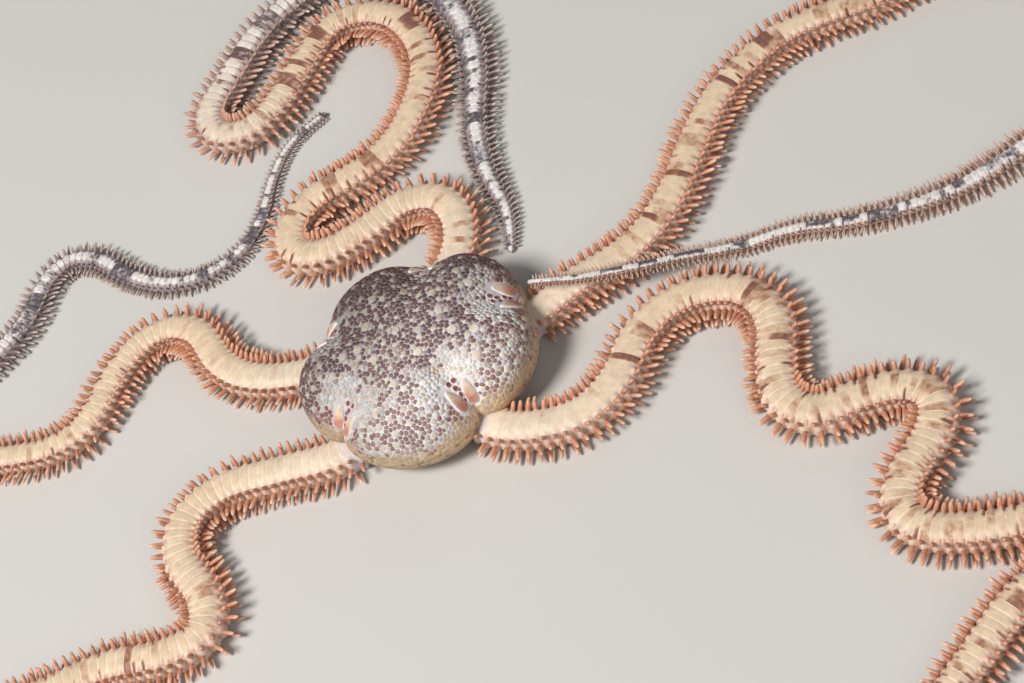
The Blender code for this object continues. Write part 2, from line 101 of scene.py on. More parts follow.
def mix(first: Array, second: Array, share: Array) -> Array:
    """Blend two colours, or arrays of them, by a share per point."""
    weight = np.asarray(share, dtype=float)[..., None]
    return np.asarray(first) * (1.0 - weight) + np.asarray(second) * weight


@dataclass
class Draft:
    """Points, faces and painted values of one piece while it is put together."""

    points: Array
    faces: list[Array]
    paint: Array
    marks: Table
    bake: Array

    def build(self, name: str, material: Material) -> Object:
        """Make the mesh object, with its colours, point values and bake map.

        Args:
            name: Name of the object.
            material: Finish of the whole piece.

        Returns:
            The new object, linked to the scene.
        """
        mesh = bpy.data.meshes.new(name)
        corners = np.concatenate([rows.ravel() for rows in self.faces]).astype(np.int32)
        sizes = np.concatenate([np.full(len(rows), rows.shape[1]) for rows in self.faces])
        starts = np.concatenate([[0], np.cumsum(sizes)[:-1]]).astype(np.int32)
        mesh.vertices.add(len(self.points))
        mesh.vertices.foreach_set("co", (self.points * MM).astype(np.float32).ravel())
        mesh.loops.add(len(corners))
        mesh.loops.foreach_set("vertex_index", corners)
        mesh.polygons.add(len(sizes))
        mesh.polygons.foreach_set("loop_start", starts)
        mesh.update(calc_edges=True)
        mesh.shade_smooth()
        colours = np.ones((len(self.points), 4), dtype=np.float32)
        colours[:, :3] = self.paint
        layer = mesh.color_attributes.new("paint", "FLOAT_COLOR", "POINT")
        layer.data.foreach_set("color", colours.ravel())
        for key, values in self.marks.items():
            layer = mesh.attributes.new(key, "FLOAT", "POINT")
            layer.data.foreach_set("value", values.astype(np.float32).ravel())
        layer = mesh.uv_layers.new(name="OFBake")
        layer.data.foreach_set("uv", self.bake.astype(np.float32).ravel())
        mesh.materials.append(material)
        item = bpy.data.objects.new(name, mesh)
        bpy.context.scene.collection.objects.link(item)
        return item


def face_normals(points: Array, faces: list[Array]) -> Array:
    """Return a unit normal at each point, averaged from the faces round it.

    Args:
        points: Places of the points.
        faces: Arrays of faces with three or four corners.

    Returns:
        One unit normal for each point.
    """
    total = np.zeros_like(points)
    for rows in faces:
        across = points[rows[:, 2]] - points[rows[:, 0]]
        other = points[rows[:, -1]] - points[rows[:, 1]]
        normal = np.cross(across, other)
        for corner in range(rows.shape[1]):
            np.add.at(total, rows[:, corner], normal)
    length = norm(total, axis=1, keepdims=True)
    return total / np.maximum(length, 1e-12)


def spot_tree(spots: Array) -> KDTree:
    """Make a tree that finds the spots near a place.

    Args:
        spots: Places of the spots.

    Returns:
        The tree, ready to search.
    """
    tree = KDTree(len(spots))
    for i, spot in enumerate(spots):
        tree.insert(Vector(spot), i)
    tree.balance()
    return tree


def dome_faces(count: int, rings: int, sides: int) -> list[Array]:
    """Return the faces of many closed shapes made of rings, a top point and a foot point.

    Args:
        count: How many shapes there are.
        rings: Rings of one shape, counted from the foot.
        sides: Points of one ring, counter-clockwise seen from the top.

    Returns:
        The four-sided faces, then the triangles.
    """
    j = np.arange(sides)
    k = (j + 1) % sides
    quads = np.concatenate([
        np.stack([r * sides + j, r * sides + k, (r + 1) * sides + k, (r + 1) * sides + j], axis=1)
        for r in range(rings - 1)
    ])
    last = (rings - 1) * sides
    top = np.stack([last + j, last + k, np.full_like(j, rings * sides)], axis=1)
    foot = np.stack([k, j, np.full_like(j, rings * sides + 1)], axis=1)
    shift = (np.arange(count) * (rings * sides + 2))[:, None, None]
    tris = np.vstack([top, foot])
    return [(quads[None] + shift).reshape(-1, 4), (tris[None] + shift).reshape(-1, 3)]


@dataclass(frozen=True)
class Look:
    """How a surface takes light, and its fine pits, with lengths in millimetres.

    Glow is the share of light that spreads below the surface: as far as reach, and by spread for
    each of red, green and blue. Pits are (cells in a millimetre, depth, strength).
    """

    roughness: float
    glow: float
    reach: float
    shine: float = 0.5
    pits: Triple | None = None
    spread: Triple = (1.0, 0.5, 0.3)


class NodeBench:
    """Short ways to put shader nodes together in one material."""

    def __init__(self, name: str) -> None:
        """Start a material that holds one Principled shader.

        Args:
            name: Name of the material.
        """
        self.material = bpy.data.materials.new(name)
        self.material.use_nodes = True
        self.tree = self.material.node_tree
        self.shader = self.tree.nodes["Principled BSDF"]

    def feed(self, node: Node, inputs: dict[str | int, object]) -> None:
        """Feed a node.

        Args:
            node: The node.
            inputs: Number, colour or other node's output for each input.
        """
        for key, given in inputs.items():
            if isinstance(given, (int, float)):
                node.inputs[key].default_value = given
            elif isinstance(given, tuple):
                node.inputs[key].default_value = (*given, 1.0)
            else:
                self.tree.links.new(given, node.inputs[key])

    def node(self, kind: str, inputs: dict[str | int, object], **settings: object) -> Node:
        """Add a node, set its own properties and feed it.

        Args:
            kind: Blender's name of the node type.
            inputs: Number, colour or other node's output for each input.
            **settings: Properties of the node.

        Returns:
            The new node.
        """
        made = self.tree.nodes.new(kind)
        for key, value in settings.items():
            setattr(made, key, value)
        self.feed(made, inputs)
        return made

    def held(self, name: str, output: str = "Fac") -> object:
        """Return what the mesh holds at its points under a name, as a number or a colour."""
        return self.node("ShaderNodeAttribute", {}, attribute_name=name).outputs[output]

    def math(self, operation: str, first: object, second: object) -> object:
        """Return what an operation makes of two numbers or outputs."""
        return self.node("ShaderNodeMath", {0: first, 1: second}, operation=operation).outputs[0]

    def grain(self, per_mm: float, detail: float = 3.0) -> object:
        """Add a noise fixed to the object.

        Args:
            per_mm: Cells of the noise in a millimetre.
            detail: Octaves of finer noise.

        Returns:
            The noise's output from 0 to 1.
        """
        place = self.node("ShaderNodeTexCoord", {}).outputs["Object"]
        inputs = {"Vector": place, "Scale": per_mm / MM, "Detail": detail, "Roughness": 0.6}
        return self.node("ShaderNodeTexNoise", inputs).outputs["Fac"]

    def ramp(self, source: object, low: float, high: float, out_low: float = 0.0,
             out_high: float = 1.0) -> object:
        """Map a number smoothly from one span to another.

        Args:
            source: Output to map.
            low: Value that becomes out_low.
            high: Value that becomes out_high.
            out_low: Result at low.
            out_high: Result at high.

        Returns:
            The mapped output.
        """
        inputs = {"Value": source, "From Min": low, "From Max": high, "To Min": out_low,
                  "To Max": out_high}
        made = self.node("ShaderNodeMapRange", inputs, interpolation_type="SMOOTHSTEP")
        return made.outputs["Result"]

    def blend(self, share: object, first: object, second: object, how: str = "MIX") -> object:
        """Blend two colours by a share.

        Args:
            share: Number or output from 0 to 1.
            first: Colour or output at share 0.
            second: Colour or output at share 1.
            how: Name of the blend.

        Returns:
            The blended colour's output.
        """
        inputs = {0: share, 6: first, 7: second}
        made = self.node("ShaderNodeMix", inputs, data_type="RGBA", blend_type=how)
        return made.outputs[2]

    def mottled(self, per_mm: float, darkest: float, lightest: float) -> object:
        """Make the mesh's paint uneven.

        Args:
            per_mm: Cells of the unevenness in a millimetre.
            darkest: Factor on the paint in the darkest cells.
            lightest: Factor on the paint in the lightest cells.

        Returns:
            The uneven paint's output.
        """
        mottle = self.ramp(self.grain(per_mm), 0.3, 0.7, darkest, lightest)
        shade = self.node("ShaderNodeCombineColor", dict.fromkeys(range(3), mottle)).outputs[0]
        return self.blend(1.0, self.held("paint", "Color"), shade, "MULTIPLY")

    def finished(self, colour: object, look: Look) -> Material:
        """Lay the colour on the shader, with pits and the way it takes light.

        Args:
            colour: Colour or output.
            look: The pits and the way it takes light.

        Returns:
            The finished material.
        """
        self.feed(self.shader, {
            "Base Color": colour, "Roughness": look.roughness, "Subsurface Weight": look.glow,
            "Subsurface Scale": look.reach * MM, "Specular IOR Level": look.shine,
        })
        self.shader.inputs["Subsurface Radius"].default_value = look.spread
        if look.pits:
            per_mm, depth, strength = look.pits
            inputs = {"Height": self.grain(per_mm, 4.0), "Distance": depth * MM,
                      "Strength": strength}
            bump = self.node("ShaderNodeBump", inputs)
            self.feed(self.shader, {"Normal": bump.outputs["Normal"]})
        return self.material


@dataclass(frozen=True)
class DiscFinish:
    """Finish of the disc's scales: seams, dark middles and pale rims, with a fine grain."""

    seam: Colour = (0.56, 0.47, 0.46)
    seam_share: float = 0.6
    seam_fade: Pair = (0.006, 0.034)
    fleck_per_mm: float = 16.0
    mottle: Triple = (3.0, 0.86, 1.12)
    look: Look = Look(0.72, 0.15, 0.35, 0.18, (22.0, 0.02, 0.35))

    def material(self) -> Material:
        """Make the finish.

        Returns:
            The finish as a material.
        """
        bench = NodeBench("disc_scales")
        worn = bench.mottled(*self.mottle)
        fleck = bench.ramp(bench.grain(self.fleck_per_mm), 0.52, 0.72, 0.0, 0.35)
        worn = bench.blend(fleck, worn, bench.held("paint", "Color"))
        line = bench.ramp(bench.held("edge"), *self.seam_fade, self.seam_share, 0.0)
        return bench.finished(bench.blend(line, worn, self.seam), self.look)


@dataclass(frozen=True)
class ArmFinish:
    """Finish of the arms' plates: cream with fine growth lines, and bands that break up."""

    near_halo: Colour = (0.53, 0.29, 0.175)
    near_band: Colour = (0.22, 0.095, 0.075)
    far_halo: Colour = (0.36, 0.32, 0.34)
    far_band: Colour = (0.11, 0.095, 0.11)
    far_fleck: Colour = (0.44, 0.41, 0.44)
    fleck_per_mm: float = 5.0
    ragged_per_mm: float = 3.2
    mottle: Triple = (2.2, 0.9, 1.08)
    look: Look = Look(0.5, 0.15, 0.4, 0.35, (20.0, 0.018, 0.3))

    def material(self) -> Material:
        """Make the finish.

        Returns:
            The finish as a material.
        """
        bench = NodeBench("arm_plates")
        worn = bench.mottled(*self.mottle)
        uneven = bench.ramp(bench.held("far"), 0.0, 1.0, 0.75, 1.9)
        ragged = bench.math("SUBTRACT", bench.grain(self.ragged_per_mm, 2.0), 0.5)
        force = bench.math("ADD", bench.held("band"), bench.math("MULTIPLY", ragged, uneven))
        band = bench.ramp(force, 0.1, 0.72)
        band = bench.math("MULTIPLY", band, bench.ramp(bench.held("band"), 0.02, 0.25))
        halo = bench.blend(bench.held("far"), self.near_halo, self.far_halo)
        dark = bench.blend(bench.held("far"), self.near_band, self.far_band)
        dark = bench.blend(bench.ramp(force, 0.35, 0.95), halo, dark)
        fleck = bench.ramp(bench.grain(self.fleck_per_mm), 0.46, 0.66, 0.0, 0.55)
        fleck = bench.math("MULTIPLY", fleck, bench.held("far"))
        worn = bench.blend(fleck, worn, self.far_fleck)
        return bench.finished(bench.blend(band, worn, dark), self.look)


@dataclass(frozen=True)
class SpineFinish:
    """Finish of the spines: glassy lime with fine lines along them."""

    mottle: Triple = (6.0, 0.84, 1.12)
    look: Look = Look(0.42, 0.2, 0.3, 0.4, (24.0, 0.014, 0.3))

    def material(self) -> Material:
        """Return the finish as a material."""
        bench = NodeBench("arm_spines")
        return bench.finished(bench.mottled(*self.mottle), self.look)


@dataclass(frozen=True)
class MouthFinish:
    """Finish of the mouth frame: matte cream lime, darker in patches laid by noise."""

    base: Colour = (0.74, 0.60, 0.46)
    dark_patch: Colour = (0.42, 0.25, 0.17)
    dark_patch_per_mm: float = 1.6
    look: Look = Look(0.55, 0.1, 0.4, pits=(14.0, 0.03, 0.4))

    def material(self) -> Material:
        """Make the finish.

        Returns:
            The finish as a material.
        """
        bench = NodeBench("mouth_plates")
        patch = bench.ramp(bench.grain(self.dark_patch_per_mm), 0.42, 0.66, 0.0, 0.6)
        return bench.finished(bench.blend(patch, self.base, self.dark_patch), self.look)


@dataclass(frozen=True)
class FloorFinish:
    """Finish of the plain pale floor."""

    base: Colour = (0.62, 0.61, 0.59)
    look: Look = Look(0.8, 0.0, 0.1)

    def material(self) -> Material:
        """Return the finish as a material."""
        return NodeBench("floor").finished(self.base, self.look)


@dataclass(frozen=True)
class ArmPlan:
    """How one arm lies: points it passes, widths along it, bands, paling and lifted end.

    A width is (length along the arm, full width). A band is (length along the arm, strength),
    with its reach along the arm third where it isn't the usual one. Paling is where the cream
    turns white, unseen is the stretch whose bands are drawn at random, and a lift is (distance
    from the tip, height of the underside).
    Fringe is how much of its warm cream, long spines and broad plates it keeps past the paling.
    """

    name: str
    points: tuple[Pair, ...]
    widths: tuple[Pair, ...]
    paling: Pair
    unseen: Pair
    bands: dict[Side, tuple[tuple[float, ...], ...]]
    usual_reach: float = 0.5
    lift: tuple[Pair, ...] = ()
    fringe: float = 0.0


ARMS = (
    ArmPlan(
        "arm_a",
        (
            (2.1, -2.2), (4.1, -3.8), (6.7, -4.1), (9.0, -3.4), (10.5, -1.6), (11.4, 1.0),
            (13.1, 2.7), (15.2, 3.2), (17.4, 2.6), (18.6, 0.8), (18.8, -1.8), (19.3, -3.9),
            (20.9, -4.9), (23.2, -4.2), (25.6, -3.9), (27.0, -4.8), (26.9, -6.7), (25.5, -9.2),
            (25.5, -11.1), (27.1, -12.1), (29.9, -12.2), (32.2, -12.0), (33.7, -12.8),
            (33.4, -14.4), (31.6, -15.5), (29.2, -18.7), (27.2, -21.8), (26.7, -24.0),
            (27.7, -25.9), (29.8, -27.4), (30.5, -29.3), (29.7, -31.1), (27.9, -32.0),
            (25.7, -31.7), (23.3, -30.2), (21.3, -30.0), (19.7, -31.2), (18.9, -33.5),
        ),
        ((0, 2.1), (30, 2.1), (56, 1.9), (72, 1.2), (87, 0.42)),
        (58.0, 76.0),
        (48.0, 200.0),
        {
            Side.WHOLE: (
                (2.7, 0.12), (10.9, 0.8), (19.6, 0.85), (21.1, 0.3), (22.4, 0.35), (24.0, 0.4),
                (31.0, 0.7), (35.6, 0.55), (39.5, 0.45),
            ),
            Side.LEFT: (
                (5.5, 0.3), (8.4, 0.35), (19.9, 0.6), (20.4, 0.6), (23.0, 0.75), (31.4, 0.4),
                (32.8, 0.6, 0.8), (34.6, 0.6, 0.8), (36.6, 0.6), (40.6, 0.4), (42.2, 0.5),
                (45.4, 0.4), (46.2, 0.5),
            ),
            Side.RIGHT: (
                (12.5, 0.5), (13.1, 0.65), (15.7, 0.4), (20.2, 0.5), (25.8, 0.5), (27.6, 0.5),
                (28.6, 0.45), (30.2, 0.45), (33.9, 0.5), (40.0, 0.5), (41.2, 0.55), (43.3, 0.5),
                (44.6, 0.5, 0.9), (46.6, 0.3), (47.7, 0.4),
            ),
        },
    ),
    ArmPlan(
        "arm_b",
        (
            (2.6, 1.4), (5.4, 2.9), (7.4, 4.6), (10.1, 6.3), (11.6, 8.0), (12.7, 10.5),
            (13.5, 13.5), (14.6, 16.3), (16.1, 18.3), (17.9, 19.9), (20.1, 20.8), (22.7, 21.5),
            (25.4, 22.9), (27.6, 23.7), (29.7, 23.6), (31.6, 22.7), (33.5, 20.7), (35.6, 18.5),
            (36.6, 16.7), (36.5, 14.9), (35.4, 13.3), (33.1, 11.8), (30.1, 9.7), (27.6, 8.3),
            (25.1, 7.6), (22.0, 7.1), (19.1, 7.1), (16.7, 6.5), (14.1, 5.8), (11.2, 4.7),
            (8.7, 4.1), (5.4, 4.0),
        ),
        ((0, 2.1), (28, 1.75), (55, 1.1), (64, 0.75), (79, 0.44), (84, 0.26)),
        (34.0, 54.0),
        (31.0, 56.0),
        {
            Side.WHOLE: (
                (4.3, 0.2), (8.6, 0.35), (9.6, 0.45), (11.2, 0.9), (14.4, 0.8), (16.6, 0.5, 0.6),
                (20.6, 0.85), (21.9, 0.6), (24.1, 0.9, 0.9), (27.5, 0.5, 1.0), (57.1, 0.6),
                (61.2, 0.7, 0.4), (64.0, 0.6), (64.8, 0.8, 0.9), (67.2, 0.7), (71.9, 0.8),
            ),
            Side.LEFT: ((12.2, 0.5), (14.9, 0.6), (62.1, 0.4)),
            Side.RIGHT: (
                (11.8, 0.45), (17.9, 0.65), (22.6, 0.5), (24.8, 0.6), (28.9, 0.5, 1.0),
                (30.1, 0.5, 1.0), (58.7, 0.7), (60.4, 0.7), (63.2, 0.6), (66.2, 0.7, 0.9),
                (68.0, 0.8, 1.0), (72.3, 0.7), (74.8, 0.85, 1.4), (76.9, 0.8, 0.9),
                (78.8, 0.85, 1.0), (80.7, 0.7, 0.4), (81.5, 0.5, 0.3),
            ),
        },
        lift=((0, 2.45), (1.2, 2.35), (3.7, 2.1), (5.1, 1.85), (6.7, 1.4), (8.3, 0.85),
              (9.9, 0.35), (11.5, 0)),
        fringe=0.75,
    ),
    ArmPlan(
        "arm_c",
        (
            (-0.2, 2.9), (-0.2, 5.4), (0.6, 7.8), (0.2, 10.2), (-1.2, 11.6), (-3.1, 11.5),
            (-5.4, 9.8), (-7.7, 8.7), (-9.4, 9.1), (-9.8, 10.8), (-8.8, 12.6), (-6.2, 14.1),
            (-4.3, 15.9), (-3.3, 18.5), (-3.1, 21.3), (-4.1, 23.8), (-5.8, 25.5), (-8.2, 26.0),
            (-10.0, 25.1), (-11.1, 22.7), (-12.4, 19.9), (-14.0, 18.3), (-15.8, 18.5),
            (-16.6, 20.0), (-15.7, 22.6), (-14.4, 25.7), (-12.0, 28.5), (-9.6, 30.2),
            (-7.2, 30.3), (-4.8, 28.8), (-2.5, 26.3), (-0.8, 23.4), (0.0, 20.2), (0.3, 16.9),
            (1.2, 13.8), (2.9, 10.4), (3.3, 7.9),
        ),
        ((0, 2.1), (60, 1.85), (82, 1.4), (90, 1.0), (96, 0.45)),
        (44.0, 70.0),
        (63.0, 77.0),
        {
            Side.WHOLE: (
                (18.7, 0.6, 0.4), (22.2, 0.3), (23.8, 0.6, 1.0), (26.1, 0.65, 1.0),
                (43.7, 0.85, 1.3), (45.8, 0.8, 0.6), (47.4, 0.75, 1.0), (49.9, 0.5), (50.9, 0.35),
                (55.2, 0.4, 0.3), (56.8, 0.5, 0.4), (59.1, 0.9, 1.3), (62.0, 0.7, 1.5),
                (79.6, 0.6, 0.4), (85.9, 0.85, 0.9), (90.7, 0.5, 0.4), (92.3, 0.6, 0.7),
            ),
            Side.LEFT: (
                (8.8, 0.5), (21.1, 0.7), (33.8, 0.7), (35.2, 0.7), (41.0, 0.5, 0.4),
                (41.9, 0.5, 0.4),
            ),
            Side.RIGHT: (
                (5.4, 0.6), (6.4, 0.45), (30.8, 0.5), (32.8, 0.5), (37.0, 0.85, 1.2),
                (51.9, 0.4, 0.4), (53.1, 0.4, 0.4), (80.1, 0.7), (81.9, 0.8), (82.7, 0.6),
                (84.2, 0.8, 0.7), (88.6, 0.6, 1.4), (93.7, 0.7), (95.2, 0.7, 0.7),
            ),
        },
    ),
    ArmPlan(
        "arm_d",
        (
            (-2.8, 0.8), (-5.5, 1.2), (-8.0, 0.7), (-10.8, 1.0), (-12.7, 2.2), (-14.4, 4.4),
            (-16.3, 4.9), (-18.0, 4.0), (-19.3, 1.9), (-20.4, -1.0), (-22.2, -2.2),
            (-24.9, -2.5), (-28.1, -2.6), (-30.6, -2.9), (-32.2, -2.0), (-32.8, -0.3),
            (-31.9, 1.4), (-29.5, 2.7), (-27.5, 4.5), (-25.9, 6.9), (-25.3, 9.5), (-24.1, 10.9),
            (-22.3, 10.8), (-19.7, 9.2), (-17.2, 8.4), (-15.0, 8.7), (-13.0, 10.2),
            (-12.2, 12.2), (-12.0, 15.0), (-11.3, 17.5), (-9.3, 19.6),
        ),
        ((0, 2.1), (25, 1.65), (45, 1.25), (60, 0.9), (76, 0.42)),
        (28.0, 42.0),
        (27.0, 45.0),
        {
            Side.WHOLE: (
                (6.2, 0.25), (14.0, 0.35), (46.2, 0.5, 0.4), (48.2, 0.8, 1.2), (49.6, 0.5, 0.4),
                (50.4, 0.5, 0.4), (53.5, 0.7, 0.6), (56.1, 0.85, 1.6), (58.1, 0.5, 0.3),
                (59.1, 0.5, 0.4), (59.9, 0.6, 0.4), (61.3, 0.8, 1.0), (62.2, 0.4, 0.3),
                (63.2, 0.7), (65.0, 0.85, 1.5), (66.4, 0.7, 0.8), (67.7, 0.5, 0.3),
                (69.4, 0.5, 0.3), (70.4, 0.6, 0.4), (72.5, 0.85, 1.0), (74.4, 0.8, 0.8),
            ),
            Side.LEFT: ((10.3, 0.3), (11.9, 0.3), (20.5, 0.35), (23.5, 0.5), (25.9, 0.5)),
        },
    ),
    ArmPlan(
        "arm_e",
        (
            (-1.9, -2.2), (-4.2, -4.5), (-7.7, -5.3), (-11.2, -6.1), (-12.9, -7.8),
            (-12.8, -10.0), (-10.9, -12.6), (-10.6, -14.5), (-12.5, -15.7), (-16.0, -16.2),
            (-19.9, -17.7), (-23.6, -18.7), (-26.5, -19.4), (-27.6, -21.3), (-26.9, -23.4),
            (-24.4, -24.7), (-22.0, -26.1), (-21.4, -28.2), (-22.7, -30.1), (-25.4, -31.0),
            (-27.4, -32.4), (-27.7, -34.5), (-26.1, -36.2), (-23.6, -36.5), (-20.8, -35.3),
            (-18.3, -35.2), (-16.4, -37.0),
        ),
        ((0, 2.1), (25, 2.0), (45, 1.7), (62, 1.0), (74, 0.42)),
        (40.0, 62.0),
        (29.0, 200.0),
        {
            Side.WHOLE: ((13.2, 0.2), (24.4, 0.7), (27.2, 0.45)),
            Side.LEFT: ((17.7, 0.5), (18.3, 0.5), (19.5, 0.3)),
            Side.RIGHT: ((6.9, 0.3), (10.9, 0.2), (23.0, 0.5)),
        },
    ),
)


@dataclass
class Course:
    """An arm's course worked out in fine steps along its middle line."""

    plan: ArmPlan
    step: float = 0.05
    soften: float = 1.0
    spline_steps: int = 40
    height_share: float = 0.8
    table: Table = field(default_factory=dict)

    def __post_init__(self) -> None:
        """Work out place, heading, half width and height at each step."""
        line = self._spline()
        for _ in range(2):
            run = np.concatenate([[0.0], np.cumsum(np.hypot(*np.diff(line, axis=0).T))])
            s = np.arange(0.0, run[-1], self.step)
            line = np.stack([self._average(np.interp(s, run, line[:, k])) for k in (0, 1)], axis=1)
        x, y = line.T
        turn = np.unwrap(np.arctan2(np.gradient(y), np.gradient(x)))
        widths = np.array(self.plan.widths, dtype=float)
        half = 0.5 * np.interp(s, widths[:, 0], widths[:, 1])
        z = np.zeros_like(s)
        if self.plan.lift:
            lift = np.array(self.plan.lift, dtype=float)
            z = np.interp(s[-1] - s, lift[:, 0], lift[:, 1])
        tall = 2.0 * half * self.height_share
        self.table = {"s": s, "x": x, "y": y, "z": z, "turn": turn, "half": half, "tall": tall}

    @property
    def length(self) -> float:
        """Return the arm's length."""
        return float(self.table["s"][-1])

    def at(self, s: Array) -> Table:
        """Return the course's values at lengths along the arm."""
        table = self.table
        return {key: np.interp(s, table["s"], row) for key, row in table.items()}

    def _spline(self) -> Array:
        """Draw a centripetal spline through the plan's points.

        Returns:
            The points along the spline.
        """
        given = np.array(self.plan.points, dtype=float)
        knots = np.vstack([2.0 * given[0] - given[1], given, 2.0 * given[-1] - given[-2]])
        t = np.linspace(0.0, 1.0, self.spline_steps, endpoint=False)[:, None]
        pieces = []
        for i in range(1, len(knots) - 2):
            p0, p1, p2, p3 = knots[i - 1 : i + 3]
            before, here, after = (
                math.sqrt(norm(b - a)) for a, b in ((p0, p1), (p1, p2), (p2, p3))
            )
            m1 = here * ((p1 - p0) / before - (p2 - p0) / (before + here)) + p2 - p1
            m2 = here * ((p3 - p2) / after - (p3 - p1) / (here + after)) + p2 - p1
            piece = (2 * t**3 - 3 * t**2 + 1) * p1 + (t**3 - 2 * t**2 + t) * m1
            pieces.append(piece + (3 * t**2 - 2 * t**3) * p2 + (t**3 - t**2) * m2)
        pieces.append(knots[-2][None])
        return np.vstack(pieces)

    def _average(self, values: Array) -> Array:
        """Average values along the arm, with both ends kept in place.

        Args:
            values: One value for each step.

        Returns:
            The averaged values.
        """
        count = round(self.soften / self.step)
        weights = np.hanning(2 * count + 3)[1:-1]
        head = 2.0 * values[0] - values[count:0:-1]
        tail = 2.0 * values[-1] - values[-2 : -count - 2 : -1]
        padded = np.concatenate([head, values, tail])
        return np.convolve(padded, weights / weights.sum(), mode="valid")


@dataclass
class DiscForm:
    """The disc's swollen, lobed form: outline from above and profile from the side."""

    notch_angles: tuple[float, ...] = (-46.0, 28.0, 92.0, 165.0, 228.0)
    notch_radii: tuple[float, ...] = (4.75, 5.75, 5.45, 5.75, 5.6)
    lobe_radii: tuple[float, ...] = (6.2, 6.6, 6.4, 6.85, 6.3)
    lobe_roundness: float = 0.42
    notch_dip: float = 0.38
    notch_spread: float = 16.0
    waist: float = 1.4
    mean_radius: float = 6.1
    flow_steps: int = 2000
    flow_soften: int = 60
    notch_soften: Pair = (18.0, 9.0)
    profile: tuple[Pair, ...] = (
        (0.0, 5.0), (0.24, 4.97), (0.48, 4.85), (0.7, 4.56), (0.85, 4.12), (0.94, 3.55),
        (0.99, 2.85), (1.0, 2.1), (0.975, 1.4), (0.91, 0.75), (0.8, 0.26), (0.63, 0.12),
        (0.36, 0.12), (0.0, 0.12),
    )

    def outline(self, angle: Array) -> Array:
        """Work out the disc's radius.

        Args:
            angle: Angles in degrees.

        Returns:
            One radius for each angle.
        """
        radius = np.zeros_like(angle)
        count = len(self.notch_angles)
        for i in range(count):
            j = (i + 1) % count
            wide = (self.notch_angles[j] - self.notch_angles[i]) % 360.0
            along = ((angle - self.notch_angles[i]) % 360.0) / wide
            base = self.notch_radii[i] * (1.0 - along) + self.notch_radii[j] * along
            rise = self.lobe_radii[i] - 0.5 * (self.notch_radii[i] + self.notch_radii[j])
            swell = np.sin(np.pi * np.clip(along, 0.0, 1.0)) ** self.lobe_roundness
            radius = np.where(along <= 1.0, base + rise * swell, radius)
        return radius

    def soft_outline(self, angle: Array) -> Array:
        """Smooth the outline's notches, for the inner part of the top.

        Args:
            angle: Angles in degrees.

        Returns:
            One radius for each angle.
        """
        reach, spread = self.notch_soften
        steps = np.linspace(-reach, reach, 13)
        weights = np.exp(-((steps / spread) ** 2))
        total = sum(w * self.outline(angle + d) for w, d in zip(weights, steps))
        return total / weights.sum()

    def notch_share(self, angle: Array) -> Array:
        """Return 1 at a notch, falling to 0 between the arms."""
        gaps = [np.abs((angle - notch + 180.0) % 360.0 - 180.0) for notch in self.notch_angles]
        return np.exp(-((np.min(gaps, axis=0) / self.notch_spread) ** 2))

    def flow(self, count: int) -> tuple[Array, Array, Array]:
        """Return the profile in even steps, from the top's middle to the underside's.

        Args:
            count: Number of steps.

        Returns:
            Share of the radius, height and run at each step.
        """
        rows = np.array(self.profile, dtype=float)
        steps = np.diff(rows, axis=0) * (self.mean_radius, 1.0)
        knots = np.concatenate([[0.0], np.cumsum(np.hypot(*steps.T))])
        fine = np.linspace(0.0, knots[-1], self.flow_steps)
        soften = self.flow_soften
        smooth = np.hanning(2 * soften + 1)
        smooth /= smooth.sum()
        curve = []
        for column, mirror in ((0, -1.0), (1, 1.0)):
            values = np.interp(fine, knots, rows[:, column])
            head = mirror * values[soften:0:-1]
            tail = mirror * values[-2 : -soften - 2 : -1]
            curve.append(np.convolve(np.concatenate([head, values, tail]), smooth, mode="valid"))
        share, height = curve
        pieces = np.hypot(np.diff(share) * self.mean_radius, np.diff(height))
        run = np.concatenate([[0.0], np.cumsum(pieces)])
        even = np.linspace(0.0, run[-1], count)
        return np.interp(even, run, share), np.interp(even, run, height), even

    def place(self, angle: Array, share: Array, height: Array) -> Array:
        """Return points of the surface.

        Args:
            angle: Angles in degrees.
            share: Shares of the radius.
            height: Heights of the profile.

        Returns:
            One point for each angle.
        """
        sharp = ease(0.8, 1.0, share)
        radius = self.soft_outline(angle) * (1.0 - sharp) + self.outline(angle) * sharp
        radius = radius * share
        above = np.maximum(height - self.waist, 0.0)
        z = height - above * self.notch_dip * self.notch_share(angle) * share**2
        turn = np.radians(angle)
        return np.stack([radius * np.cos(turn), radius * np.sin(turn), z], axis=-1)


